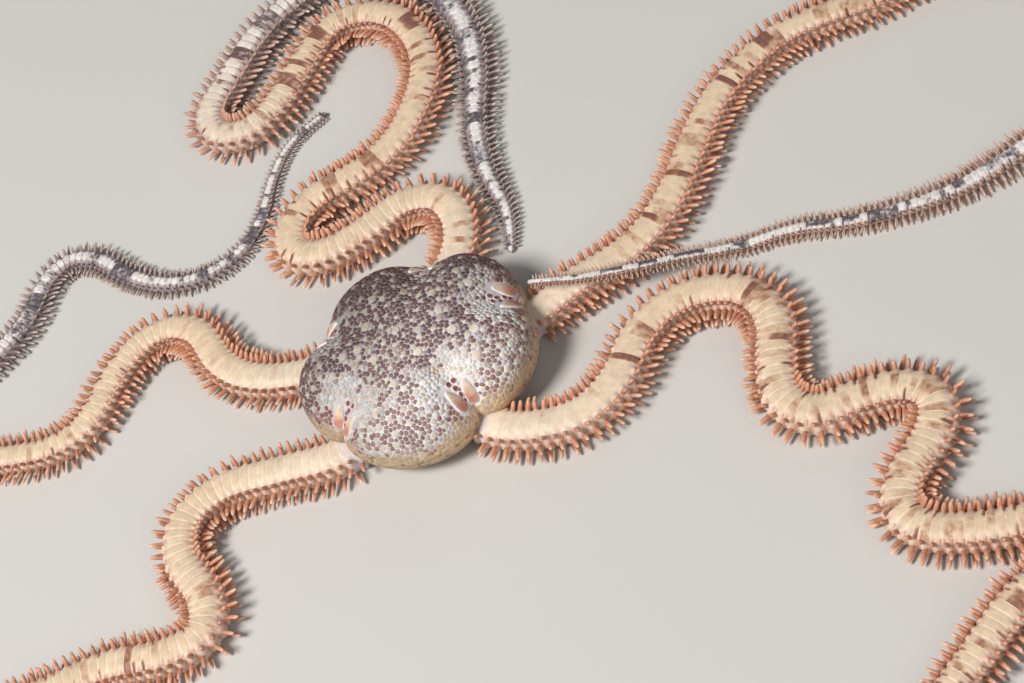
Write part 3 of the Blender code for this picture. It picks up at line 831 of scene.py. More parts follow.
@dataclass
class Paving:
    """The disc's scales and plates: where each is, how big and of what kind."""

    rng: Generator
    centre: list[Array] = field(default_factory=list)
    end: list[Array] = field(default_factory=list)
    size: list[Pair] = field(default_factory=list)
    kind: list[Kind] = field(default_factory=list)
    clear: float = 0.03
    batch: int = 4000

    def add(self, centre: Array, kind: Kind, size: float, end: Array | None = None,
            end_size: float | None = None) -> None:
        """Set one plate.

        Args:
            centre: Middle of the plate, or the inner end of a long one.
            kind: What the plate is.
            size: Its radius there.
            end: Outer end of a long plate.
            end_size: Radius at the outer end.
        """
        self.centre.append(centre)
        self.end.append(centre if end is None else end)
        self.size.append((size, size if end_size is None else end_size))
        self.kind.append(kind)

    def scatter(self, spots: Array, spacing: Array, kind: Kind, size: Array) -> None:
        """Set plates on spots in a random order, each clear of those set before.

        Args:
            spots: Places to try.
            spacing: Least distance between two middles, at each spot.
            kind: What the plates are.
            size: Radius of a plate at each spot.
        """
        order = self.rng.permutation(len(spots))
        room = np.zeros((len(self.centre) + len(spots), 3))
        reach = np.zeros(len(room))
        count = 0
        for centre, end, sizes in zip(self.centre, self.end, self.size):
            for t in (0.0,) if centre is end else (0.0, 0.25, 0.5, 0.75, 1.0):
                if count < len(room):
                    room[count] = centre * (1.0 - t) + end * t
                    reach[count] = max(sizes)
                    count += 1
        before = count
        for i in order:
            away = np.sum((room[:count] - spots[i]) ** 2, axis=1)
            least = np.where(np.arange(count) < before, reach[:count] + size[i] + self.clear,
                             spacing[i])
            if count == 0 or np.all(away > least**2):
                room[count] = spots[i]
                reach[count] = size[i]
                count += 1
                self.add(spots[i], kind, float(size[i]))

    def nearest(self, points: Array) -> tuple[Array, Array]:
        """Find the plate that each point is on.

        Args:
            points: Points of the surface.

        Returns:
            The plate's number, and how far inside the plate's edge the point is.
        """
        centre = np.array(self.centre, dtype=np.float32)
        sizes = np.array(self.size, dtype=np.float32)[:, 0]
        long = np.flatnonzero(self.of_kind(Kind.SHIELD))
        plate = np.zeros(len(points), dtype=np.int32)
        edge = np.zeros(len(points), dtype=np.float32)
        square = (centre**2).sum(axis=1)
        for start in range(0, len(points), self.batch):
            block = slice(start, start + self.batch)
            part = points[block].astype(np.float32)
            away = (part**2).sum(axis=1)[:, None] + square[None] - 2.0 * part @ centre.T
            away = np.sqrt(np.maximum(away, 0.0)) - sizes[None]
            for i in long:
                away[:, i] = self.from_long(part, i)
            rows = np.arange(len(part))
            first = away.argmin(axis=1)
            nearest = away[rows, first].copy()
            away[rows, first] = np.inf
            plate[block] = first
            edge[block] = 0.5 * (away.min(axis=1) - nearest)
        return plate, edge

    def of_kind(self, *kinds: Kind) -> Array:
        """Tell for every plate whether it is of one of the kinds."""
        return np.array([kind in kinds for kind in self.kind])

    def from_long(self, points: Array, number: int) -> Array:
        """Measure how far points are from a long plate's edge.

        Args:
            points: Points to measure.
            number: The plate's number.

        Returns:
            The distances, negative inside the plate.
        """
        start = self.centre[number]
        line = self.end[number] - start
        share = np.clip((points - start) @ line / (line @ line), 0.0, 1.0)
        first, last = self.size[number]
        radius = first + (last - first) * np.sin(SHIELD_BULGE * np.pi * share)
        return norm(points - (start + share[:, None] * line), axis=1) - radius


@dataclass
class DiscSkin:
    """The disc's skin, paved with scales, round plates and radial shields.

    The ends of a shield, its knob and the wedge's plates are each at (distance inside the
    notch's radius, distance to the side, height), and the plates' sizes are radii. The side's
    rings start at the share side_from of the radius, and the underside's at under_from. The
    share under_points sets how many points the underside's rings have.
    """

    form: DiscForm
    finish: DiscFinish = DiscFinish()
    rings: int = 100
    side_rings: int = 72
    under_rings: int = 46
    flow_steps: int = 2400
    side_from: float = 0.95
    under_from: float = 0.84
    under_points: float = 0.55
    shield_angles: tuple[float, ...] = (-48.0, 29.4, 92.0, 165.0, 229.8)
    shield_inner: Triple = (0.74, 0.6, 3.9)
    shield_outer: Triple = (-0.02, 0.39, 2.95)
    shield_size: Pair = (0.08, 0.36)
    knob_place: Triple = (-0.05, 0.17, 2.3)
    knob_size: float = 0.17
    wedge: tuple[Triple, ...] = (
        (0.95, 0.14, 4.0), (0.92, -0.16, 4.0), (0.68, 0.0, 3.75), (0.4, 0.02, 3.4),
        (0.16, 0.0, 3.1),
    )
    large_plates: tuple[Pair, ...] = (
        (1.7, 1.2), (0.9, -1.3), (-1.6, -1.4), (-2.4, 0.8), (-3.4, -1.1), (-0.2, -3.1),
        (0.8, 0.0), (2.6, -0.1), (3.8, -0.1), (1.5, 3.3), (-2.2, 2.4), (1.2, 2.3), (3.0, 3.0),
        (-0.5, 2.8), (-0.5, 0.1), (4.0, -1.6), (-2.5, -0.8), (2.3, 3.8),
    )
    cream: Colour = (0.76, 0.665, 0.53)
    pale: Colour = (0.60, 0.465, 0.37)
    rim: Colour = (0.58, 0.51, 0.52)
    dark: Colour = (0.20, 0.108, 0.104)
    dim_dark: Colour = (0.36, 0.215, 0.195)
    red_dark: Colour = (0.38, 0.15, 0.125)
    # Lighter colour for dark scales on the front of the disc: painted light.
    lit_front_dark: Colour = (0.49, 0.30, 0.275)
    side_cream: Colour = (0.78, 0.56, 0.35)
    side_rim: Colour = (0.80, 0.60, 0.40)
    side_fleck: Colour = (0.38, 0.20, 0.14)
    white: Colour = (0.89, 0.865, 0.87)
    peach: Colour = (0.80, 0.585, 0.43)
    knob: Colour = (0.90, 0.56, 0.37)
    wedge_red: Colour = (0.26, 0.07, 0.07)
    halo: Colour = (0.74, 0.70, 0.71)
    seam: Colour = (0.64, 0.60, 0.65)
    seed: int = 20
    colour_seed: int = 5
    edge_seed: int = 6
    wedge_size: float = 0.14
    large_size: Pair = (0.19, 0.25)
    round_spots: int = 7000
    round_spacing: Pair = (0.5, 0.86)
    round_size: Pair = (0.08, 0.14)
    scale_spots: int = 60000
    scale_size: float = 0.05
    scale_spacing: float = 0.212
    scale_spread: Pair = (-0.024, 0.03)
    solid_from: float = 1.9
    scale_sides: int = 11
    plate_sides: int = 16
    shield_sides: int = 48
    lowest: float = 0.06
    bake_split: float = 0.62

    def build(self) -> list[Object]:
        """Make the skin, and the solid scales, plates and shields on its upper part.

        Returns:
            The skin, then the coat's pieces.
        """
        base, faces, run = self._surface()
        normal = face_normals(base, faces)
        paving = self._pave(base, normal)
        plate, edge = paving.nearest(base)
        colours = self._plate_colours(paving)
        centre = np.array(paving.centre)
        solid = centre[:, 2] > self.solid_from
        raised = base + normal * self._relief(paving, plate, edge, solid)[:, None]
        raised[:, 2] = np.maximum(raised[:, 2], self.lowest)
        paint = self._paint(paving, plate, edge, base, colours, solid)
        places = self._places(base, run)
        bake = self._unwrap(places, run, faces)
        calm = edge + 0.028 * ease(3.3, 2.4, base[:, 2])
        calm = np.where(solid[plate], 1.0, calm)
        draft = Draft(raised, faces, paint, {"edge": calm}, bake)
        LOG.info("disc skin: %d plates, %d points", len(centre), len(base))
        material = self.finish.material()
        surface = BVHTree.FromPolygons(base.tolist(), faces[0].tolist())
        near = spot_tree(base)
        nearest = np.array([near.find(Vector(spot))[1] for spot in centre])
        coat = ScaleCoat(paving, colours, surface, normal[nearest], places[0][nearest], material)
        small, long = paving.of_kind(Kind.SCALE), paving.of_kind(Kind.SHIELD)
        return [
            draft.build("disc_skin", material),
            coat.build("disc_scales", np.flatnonzero(solid & small), SCALE_RINGS,
                       self.scale_sides),
            coat.build("disc_plates", np.flatnonzero(solid & ~small & ~long), PLATE_RINGS,
                       self.plate_sides),
            coat.build("disc_shields", np.flatnonzero(long), SHIELD_RINGS, self.shield_sides),
        ]

    def _surface(self) -> tuple[Array, list[Array], Array]:
        """Make the smooth surface that the plates lie on.

        Returns:
            Its points, its faces, and each point's run from the top's middle.
        """
        share, height, run = self.form.flow(self.flow_steps)
        rim = int(np.argmax(share > self.side_from))
        under = len(share) - 1 - int(np.argmax(share[::-1] > self.under_from))
        rows = np.concatenate([
            np.linspace(0, rim, self.rings + 1)[:-1],
            np.linspace(rim, under, self.side_rings + 1)[:-1],
            np.linspace(under, len(share) - 1, self.under_rings + 1),
        ]).astype(int)
        k = np.arange(len(rows))
        most = 6 * self.rings
        fewer = (most * self.under_points * k[::-1] / self.under_rings).astype(int)
        counts = np.where(k < self.rings + self.side_rings, np.minimum(6 * k, most),
                          np.maximum(fewer, 6))
        counts[[0, -1]] = 1
        starts = np.cumsum(counts) - counts
        points, tris = [], []
        for row, count in zip(rows, counts):
            angle = np.arange(count) * 360.0 / count
            level = np.ones(count)
            points.append(self.form.place(angle, share[row] * level, height[row] * level))
        for upper, lower in zip(k[:-1], k[1:]):
            tris.append(self._stitch(starts[upper], counts[upper], starts[lower], counts[lower]))
        return np.vstack(points), [np.vstack(tris)], np.repeat(run[rows], counts)

    @staticmethod
    def _stitch(first: int, count: int, second: int, other: int) -> Array:
        """Return triangles between two rings with any numbers of points.

        Args:
            first: First point of the upper ring.
            count: Points of the upper ring.
            second: First point of the lower ring.
            other: Points of the lower ring.

        Returns:
            The triangles, facing out.
        """
        swap = count > other
        few, many, few_at, many_at = (
            (other, count, second, first) if swap else (count, other, first, second)
        )
        j = np.arange(many)
        here = np.round(j * few / many).astype(int)
        after = np.round((j + 1) * few / many).astype(int)
        fans = np.stack([many_at + j, many_at + (j + 1) % many, few_at + after % few], axis=1)
        step = after != here
        ties = np.stack([many_at + j, few_at + after % few, few_at + here % few], axis=1)
        rows = np.vstack([fans, ties[step]]) if few > 1 else fans
        return rows[:, ::-1] if swap else rows

    def _on_top(self, base: Array, x: float, y: float) -> Array:
        """Return the surface point of the top nearest to a place seen from above."""
        away = (base[:, 0] - x) ** 2 + (base[:, 1] - y) ** 2
        return base[int(np.where(base[:, 2] < self.solid_from, np.inf, away).argmin())]

    def _pave(self, base: Array, normal: Array) -> Paving:
        """Set the plates: shields and knobs first, then round plates, then scales.

        Args:
            base: Points of the smooth surface.
            normal: Unit normals at the points.

        Returns:
            All the plates.
        """
        rng = default_rng(self.seed)
        paving = Paving(rng)
        for angle, radius in zip(self.shield_angles, self.form.notch_radii):
            turn = math.radians(angle)
            out = np.array([math.cos(turn), math.sin(turn), 0.0])
            side = np.array([-out[1], out[0], 0.0])

            def spot(place: Triple, hand: float) -> Array:
                """Return the surface point near a place given by inset, side and height."""
                inset, apart, height = place
                aim = out * (radius - inset) + side * hand * apart + (0.0, 0.0, height)
                return base[int(np.sum((base - aim) ** 2, axis=1).argmin())]

            for hand in (-1.0, 1.0):
                inner, outer = spot(self.shield_inner, hand), spot(self.shield_outer, hand)
                paving.add(inner, Kind.SHIELD, self.shield_size[0], outer, self.shield_size[1])
                paving.add(spot(self.knob_place, hand), Kind.KNOB, self.knob_size)
            for place in self.wedge:
                paving.add(spot(place, 1.0), Kind.WEDGE, self.wedge_size)
        for x, y in self.large_plates:
            size = float(rng.uniform(*self.large_size))
            paving.add(self._on_top(base, x, y), Kind.LARGE, size)
        upper = np.flatnonzero((normal[:, 2] > 0.1) & (base[:, 2] > 3.2))
        spots = base[rng.choice(upper, self.round_spots, replace=False)]
        spacing = rng.uniform(*self.round_spacing, len(spots))
        paving.scatter(spots, spacing, Kind.ROUND, rng.uniform(*self.round_size, len(spots)))
        spots = base[rng.choice(len(base), self.scale_spots, replace=False)]
        spacing = self.scale_spacing + rng.uniform(*self.scale_spread, len(spots))
        paving.scatter(spots, spacing, Kind.SCALE, np.full(len(spots), self.scale_size))
        return paving

    def _relief(self, paving: Paving, plate: Array, edge: Array, solid: Array) -> Array:
        """Raise a low dome on every plate that isn't solid.

        Args:
            paving: All the plates.
            plate: The plate that each point is on.
            edge: Distance inside that plate's edge.
            solid: Which plates are solid.

        Returns:
            How far each point is raised.
        """
        tall = plate_rises(paving)[plate]
        domes = tall * (1.0 - np.exp(-np.maximum(edge, 0.0) / 0.07)) - 0.03
        low = ease(3.6, 2.7, np.array(paving.centre)[plate, 2])
        return np.where(solid[plate], -0.02 + 0.015 * low, domes)

    def _plate_colours(self, paving: Paving) -> "PlateColours":
        """Choose the colours of every plate from its kind and place, with painted shade toward the
        back, the left and the bottom, and painted light on the front.

        Args:
            paving: All the plates.

        Returns:
            The colours.
        """
        centre = np.array(paving.centre)
        rng = default_rng(self.colour_seed)
        count = len(centre)
        shields = paving.of_kind(Kind.SHIELD)
        inner = centre[shields]
        outer = np.array(paving.end)[shields]
        heads = inner + (inner - outer) * (0.45, 0.45, 0.0)
        near = np.min(norm(centre[:, None] - heads[None], axis=2), axis=1)
        apex = np.min(norm(centre[:, None] - outer[None], axis=2), axis=1)
        whitened = ease(1.75, 0.6, near + rng.normal(0.0, 0.2, count))
        back = ease(-2.5, 5.5, centre @ np.array([-0.35, 0.94, 0.0]))
        # Painted light on the front of the disc: fewer dark scales there, lighter dark scales, and
        # paler scales and rims.
        lit_front = ease(1.0, 4.5, centre @ np.array([0.35, -0.94, 0.0]))
        # The real pale patches by the shields fade toward the back: painted shade.
        whitened = whitened * ease(0.7, 1.2, apex) * (1.0 - 0.55 * back)
        side = ease(3.35, 2.3, centre[:, 2] + rng.normal(0.0, 0.15, count))
        cloud = np.array([noise.noise(Vector(c) * 0.9) for c in centre])
        fine = np.array([noise.noise(Vector(c) * 2.4 + Vector((9.0, 0.0, 0.0))) for c in centre])
        left = ease(-1.0, 5.0, centre @ np.array([-0.94, -0.35, 0.0]))
        dark = 0.86 + 0.8 * cloud + 0.6 * fine + 0.32 * back + rng.normal(0.0, 0.18, count)
        dark += 0.5 * ease(1.3, 0.6, apex) - 1.15 * whitened - 0.16 * lit_front
        dark = ease(0.36, 0.62, dark)
        low = ease(2.2, 0.6, centre[:, 2])
        # Painted shade: every plate is darker toward the back, the left and the bottom of the
        # disc. This is multiplied with a random tone and laid on bodies, rims, halos and seams.
        shade = (1.0 - 0.55 * back) * (1.0 - 0.28 * left) * (1.0 - 0.4 * low)
        tone_and_shade = (rng.normal(1.0, 0.06, count) * shade)[:, None]
        warm = ease(2.4, 0.5, apex)
        middle = mix(self.dark, self.dim_dark, rng.random(count) ** 2 * 0.9)
        middle = mix(middle, self.lit_front_dark, 0.75 * lit_front * rng.uniform(0.5, 1.2, count))
        middle = mix(mix(middle, self.red_dark, warm), self.side_fleck, side)
        pale = mix(mix(self.rim, self.pale, rng.random(count)), self.white,
                   np.maximum(0.85 * whitened, 0.6 * lit_front))
        pale = mix(pale, self.peach, (0.3 + 0.5 * rng.random(count)) * (rng.random(count) < 0.3))
        pale = mix(pale, self.side_cream, side)
        flecked = dark * (1.0 - side) + side * (rng.random(count) < 0.1) * 0.8
        cream = mix(self.cream, self.peach, 0.7 * (rng.random(count) < 0.3))
        cream = mix(cream, self.white, 0.35 * whitened)
        cream = mix(cream, self.side_cream, side)
        rounded = paving.of_kind(Kind.ROUND, Kind.LARGE)
        body = np.where(rounded[:, None], cream, mix(pale, middle, flecked)) * tone_and_shade
        # Rims turn white on the real pale patches by the shields and, as painted light, on the
        # front.
        light = np.maximum(0.85 * whitened, 0.85 * lit_front)
        rim, halo, seam = (
            mix(mix(colour, self.white, light), self.side_rim, side) * tone_and_shade
            for colour in (self.rim, self.halo, self.seam)
        )
        body[paving.of_kind(Kind.KNOB)] = self.knob
        body[paving.of_kind(Kind.WEDGE)] = self.wedge_red
        for pale_edge in (rim, halo):
            pale_edge[paving.of_kind(Kind.KNOB, Kind.WEDGE, Kind.SHIELD)] = self.white
        return PlateColours(body, rim, halo, seam)

    def _paint(self, paving: Paving, plate: Array, edge: Array, base: Array,
               colours: "PlateColours", solid: Array) -> Array:
        """Paint seams under solid scales, and whole scales elsewhere.

        Args:
            paving: All the plates.
            plate: The plate that each point is on.
            edge: Distance inside that plate's edge.
            base: Points of the smooth surface.
            colours: Colours of the plates.
            solid: Which plates are solid.

        Returns:
            The skin's paint.
        """
        centre = np.array(paving.centre)
        rng = default_rng(self.edge_seed)
        away = norm(base - centre[plate], axis=1)
        span = 0.14 * rng.normal(1.0, 0.13, len(centre))[plate]
        inside = ease(0.002, 0.042, edge) * ease(span + 0.025, span - 0.025, away)
        paint = mix(colours.rim[plate], colours.body[plate], inside)
        paint[solid[plate]] = colours.seam[plate][solid[plate]]
        return np.clip(paint, 0.0, 1.0)

    def _places(self, base: Array, run: Array) -> tuple[Array, Array]:
        """Place every point on the bake map, seen from above and from below.

        Args:
            base: Points of the smooth surface.
            run: Each point's run from the top's middle.

        Returns:
            The places in the upper round, and those in the lower one.
        """
        turn = np.arctan2(base[:, 1], base[:, 0])
        total = run.max()
        ways = np.stack([np.cos(turn), np.sin(turn)], axis=1) * 0.31 / (self.bake_split * total)
        above = ways * run[:, None] + (0.32, 0.68)
        below = ways * (total - run)[:, None] + (0.8, 0.2)
        return above, below

    def _unwrap(self, places: tuple[Array, Array], run: Array, faces: list[Array]) -> Array:
        """Make the bake map: the top with its sides, and the underside.

        Args:
            places: Each point's places in the two rounds.
            run: Each point's run from the top's middle.
            faces: Faces of the skin.

        Returns:
            One map place for each corner.
        """
        corners = faces[0].ravel()
        split = self.bake_split * run.max()
        upper = np.repeat(run[faces[0]].mean(axis=1) < split, 3)
        return np.where(upper[:, None], places[0][corners], places[1][corners])


@dataclass(frozen=True)
class PlateColours:
    """Colours of the disc's plates, one row for each plate."""

    body: Array
    rim: Array
    halo: Array
    seam: Array


@dataclass(frozen=True)
class Ring:
    """One ring of a solid scale: its share of the reach, its height and its paleness."""

    share: float
    height: float
    pale: float


SCALE_RINGS = (Ring(1.0, -1.2, 0.45), Ring(0.86, 0.75, 0.05), Ring(0.0, 1.0, 0.0))
PLATE_RINGS = (
    Ring(1.0, -0.9, 1.0), Ring(0.9, 0.5, 0.95), Ring(0.74, 0.85, 0.12), Ring(0.4, 1.0, 0.0),
    Ring(0.0, 1.0, 0.0),
)
SHIELD_RINGS = (
    Ring(1.0, -0.6, 1.0), Ring(0.93, 0.5, 0.85), Ring(0.84, 0.85, 0.12), Ring(0.5, 1.0, 0.0),
    Ring(0.25, 1.0, 0.0), Ring(0.0, 1.0, 0.0),
)


def plate_rises(paving: Paving) -> Array:
    """Work out how far the middle of each plate stands out of the skin.

    Args:
        paving: All the plates.

    Returns:
        One height for each plate.
    """
    rise = {Kind.SCALE: 0.024, Kind.ROUND: 0.042, Kind.LARGE: 0.05, Kind.SHIELD: 0.09,
            Kind.KNOB: 0.12, Kind.WEDGE: 0.04}
    tall = np.array([rise[kind] for kind in paving.kind])
    return tall * (1.0 - 0.85 * ease(3.6, 2.7, np.array(paving.centre)[:, 2]))


@dataclass
class ScaleCoat:
    """Solid scales, plates and shields over the disc's skin, shaped by their neighbours."""

    paving: Paving
    colours: PlateColours
    surface: BVHTree
    normal: Array
    place: Array
    material: Material
    gap: float = 0.026
    scale_reach: float = 0.22
    plate_margin: float = 0.06
    search: float = 0.62
    least_reach: float = 0.03
    shield_search: tuple[float, float, int] = (0.02, 1.3, 160)
    shield_tan: Colour = (0.72, 0.55, 0.41)
    shield_red: Colour = (0.56, 0.215, 0.16)
    patch: float = 0.003

    def build(self, name: str, numbers: Array, rings: tuple[Ring, ...], sides: int) -> Object:
        """Make one piece of the coat.

        Args:
            name: Name of the piece.
            numbers: Numbers of its plates in the paving.
            rings: Rings of one plate, from its foot to its middle.
            sides: Points of one ring.

        Returns:
            The finished object.
        """
        turn = np.arange(sides) * 2.0 * np.pi / sides
        middle, ways = self._frames(numbers, turn)
        long = self.paving.kind[numbers[0]] is Kind.SHIELD
        reach = (self._long_reach if long else self._reach)(numbers, middle, ways)
        spread = [middle[:, None] + (ring.share * reach)[..., None] * ways for ring in rings[:-1]]
        flat = np.concatenate([*spread, middle[:, None], middle[:, None]], axis=1)
        share, height, pale = (
            np.append(np.repeat([getattr(ring, key) for ring in rings[:-1]], sides),
                      [getattr(rings[-1], key), getattr(rings[0], key) * (key != "share")])
            for key in ("share", "height", "pale")
        )
        tall = plate_rises(self.paving)[numbers][:, None] * height[None]
        points = self._on_surface(flat, tall)
        paint = self._paint(numbers, flat, pale)
        faces = dome_faces(len(numbers), len(rings) - 1, sides)
        angle = np.append(np.tile(turn, len(rings) - 1), [0.0, 0.0])
        patch = np.stack([np.cos(angle), np.sin(angle)], axis=1) * share[:, None]
        places = (self.place[numbers][:, None] + 0.5 * self.patch * patch[None]).reshape(-1, 2)
        bake = np.vstack([places[rows.ravel()] for rows in faces])
        LOG.info("%s: %d solids", name, len(numbers))
        draft = Draft(points, faces, paint, {"edge": np.ones(len(places))}, bake)
        return draft.build(name, self.material)

    def _frames(self, numbers: Array, turn: Array) -> tuple[Array, Array]:
        """Find each plate's middle and the directions of its corners.

        Args:
            numbers: The plates' numbers.
            turn: Angles of the corners, counter-clockwise.

        Returns:
            The middles and the directions.
        """
        start = np.array(self.paving.centre)[numbers]
        end = np.array(self.paving.end)[numbers]
        line = end - start
        line[norm(line, axis=1) < 1e-6] = (0.3, 0.9, 0.2)
        up = self.normal[numbers]
        if self.paving.kind[numbers[0]] is Kind.SHIELD:
            hits = [self.surface.find_nearest(Vector(spot)) for spot in 0.5 * (start + end)]
            start = np.array([tuple(hit[0]) for hit in hits])
            up = np.array([tuple(hit[1]) for hit in hits])
        first = line - up * np.sum(line * up, axis=1, keepdims=True)
        first /= norm(first, axis=1, keepdims=True)
        second = np.cross(up, first)
        return start, (np.cos(turn)[None, :, None] * first[:, None]
                       + np.sin(turn)[None, :, None] * second[:, None])

    def _sites(self) -> tuple[Array, Array, Array]:
        """Find the sites that bound the scales.

        Returns:
            Their places and radii, and the plate that owns each.
        """
        sites, sizes, owner = [], [], []
        for i, kind in enumerate(self.paving.kind):
            steps = np.linspace(0.0, 1.0, 11) if kind is Kind.SHIELD else np.zeros(1)
            narrow, wide = self.paving.size[i]
            for step in steps:
                spot = self.paving.centre[i] * (1.0 - step) + self.paving.end[i] * step
                sites.append(tuple(self.surface.find_nearest(Vector(spot))[0]))
                sizes.append(narrow + (wide - narrow) * math.sin(SHIELD_BULGE * math.pi * step))
                owner.append(i)
        return np.array(sites), np.array(sizes), np.array(owner)

    def _reach(self, numbers: Array, middle: Array, ways: Array) -> Array:
        """Work out how far each plate reaches, up to its neighbours.

        Args:
            numbers: The plates' numbers.
            middle: Their middles.
            ways: Directions of their corners.

        Returns:
            One reach for each plate and direction.
        """
        sites, sizes, owner = self._sites()
        tree = spot_tree(sites)
        reach = np.zeros(ways.shape[:2])
        for row, i in enumerate(numbers):
            size = self.paving.size[i][0]
            found = tree.find_range(Vector(middle[row]), self.search + size)
            near = np.array([k for _, k, _ in found if owner[k] != i], dtype=int)
            apart = sites[near] - middle[row]
            lead = size - sizes[near]
            facing = np.maximum(ways[row] @ apart.T - lead[None], 1e-4)
            edge = ((apart**2).sum(axis=1) - lead**2)[None] / (2.0 * facing)
            small = self.paving.kind[i] is Kind.SCALE
            limit = self.scale_reach if small else size + self.plate_margin
            reach[row] = np.minimum(edge.min(axis=1, initial=limit), limit)
        reach = 0.64 * reach + 0.18 * (np.roll(reach, 1, axis=1) + np.roll(reach, -1, axis=1))
        return np.maximum(reach - 0.5 * self.gap, self.least_reach)

    def _long_reach(self, numbers: Array, middle: Array, ways: Array) -> Array:
        """Work out how far each shield reaches from its middle.

        Args:
            numbers: Numbers of the shields.
            middle: Their middles.
            ways: Directions of their corners.

        Returns:
            One reach for each shield and direction.
        """
        steps = np.linspace(*self.shield_search)
        reach = np.zeros(ways.shape[:2])
        for row, i in enumerate(numbers):
            spots = middle[row] + steps[:, None, None] * ways[row][None]
            start = self.paving.centre[i]
            lift = middle[row] - 0.5 * (start + self.paving.end[i])
            depth = -self.paving.from_long((spots - lift).reshape(-1, 3), int(i))
            inside = depth.reshape(len(steps), -1) > 0.3 * self.gap
            reach[row] = steps[np.maximum(inside.sum(axis=0) - 1, 0)]
        return 0.5 * reach + 0.25 * (np.roll(reach, 1, axis=1) + np.roll(reach, -1, axis=1))

    def _on_surface(self, flat: Array, tall: Array) -> Array:
        """Move points onto the smooth surface and raise them.

        Args:
            flat: Points near the surface.
            tall: Their heights.

        Returns:
            The raised points.
        """
        points = np.zeros((flat.shape[0] * flat.shape[1], 3))
        for k, (spot, height) in enumerate(zip(flat.reshape(-1, 3), tall.ravel())):
            place, up, _, _ = self.surface.find_nearest(Vector(spot))
            points[k] = place + up * float(height)
        return points

    def _paint(self, numbers: Array, flat: Array, pale: Array) -> Array:
        """Paint each plate in its own colour inside a paler edge.

        Args:
            numbers: The plates' numbers.
            flat: Points near the surface.
            pale: How pale each of a plate's points is.

        Returns:
            The paint of every point.
        """
        body = np.repeat(self.colours.body[numbers][:, None], flat.shape[1], axis=1)
        if self.paving.kind[numbers[0]] is Kind.SCALE:
            edge = self.colours.rim[numbers]
        else:
            edge = self.colours.halo[numbers]
        if self.paving.kind[numbers[0]] is Kind.SHIELD:
            start = np.array(self.paving.centre)[numbers][:, None]
            line = np.array(self.paving.end)[numbers][:, None] - start
            along = ((flat - start) * line).sum(axis=2) / (line**2).sum(axis=2)
            body = mix(self.shield_tan, self.shield_red, ease(0.4, 0.95, along))
            body = mix(body, edge[:, None], 0.25 * ease(0.25, -0.2, along))
        share = np.broadcast_to(pale[None], flat.shape[:2])
        return np.clip(mix(body, edge[:, None], share), 0.0, 1.0).reshape(-1, 3)


@dataclass(frozen=True)
class SpineRow:
    """One row of spines: its root on the arm's section, how it leans, its size and its tip."""

    across: float
    level: float
    rise: float
    lean: float
    length: float
    width: float
    thickness: float
    paleness: float
    phase: float


SPINE_ROWS = (
    SpineRow(0.86, 0.76, 44.0, 10.0, 0.54, 0.28, 0.23, 0.4, 0.42),
    SpineRow(0.98, 0.5, 14.0, 10.0, 0.88, 0.27, 0.22, 0.8, 0.7),
    SpineRow(0.93, 0.24, -4.0, 8.0, 0.84, 0.26, 0.22, 0.8, 0.5),
)


@dataclass
class ArmForm:
    """An arm's segments and section, shared by its skin and its spines."""

    course: Course
    pitch: float = 0.54
    pitch_knee: float = 0.75
    fullness: float = 0.8
    belt: float = 0.42
    crown: float = 0.98
    strips: int = 6
    shortest: float = 0.15

    def marks(self) -> Array:
        """Share the arm out into segments, shorter where it is thin.

        Returns:
            The lengths at which one segment ends and the next begins.
        """
        marks = [0.0]
        while marks[-1] < self.course.length - self.shortest:
            width = 2.0 * float(self.course.at(np.array([marks[-1]]))["half"][0])
            marks.append(marks[-1] + self.pitch * (1.0 - math.exp(-width / self.pitch_knee)))
        marks[-1] = self.course.length
        return np.array(marks)

    def section(self, theta: Array) -> tuple[Array, Array, Array]:
        """Return the section's shape.

        Args:
            theta: Angles round the section, 0 at the right side and a quarter at the top.

        Returns:
            Share of the half width, share of the height, and the signed share from the belt.
        """
        cos, sin = np.cos(theta), np.sin(theta)
        across = np.sign(cos) * np.abs(cos) ** self.fullness
        rise = np.sign(sin) * np.abs(sin) ** self.fullness
        return across, self.level(rise), rise

    def level(self, rise: Array) -> Array:
        """Return the share of the height for a signed share from the belt."""
        return self.belt + np.where(rise > 0.0, rise * (self.crown - self.belt), rise * self.belt)

    def bake_place(self, s: Array, around: Array, strip: Array) -> Array:
        """Return bake map places.

        Args:
            s: Lengths along the arm.
            around: Shares of the way round the section.
            strip: Number of the strip that each place is on.

        Returns:
            One map place for each length.
        """
        reach = self.course.length / self.strips
        u = 0.01 + 0.98 * (s - strip * reach) / reach
        v = (strip + 0.04 + 0.92 * around) / self.strips
        return np.stack([u, v], axis=-1)

    def strip_of(self, s: Array) -> Array:
        """Return the number of the bake map's strip that a length lies on."""
        strip = np.floor(s / self.course.length * self.strips)
        return np.clip(strip, 0, self.strips - 1)


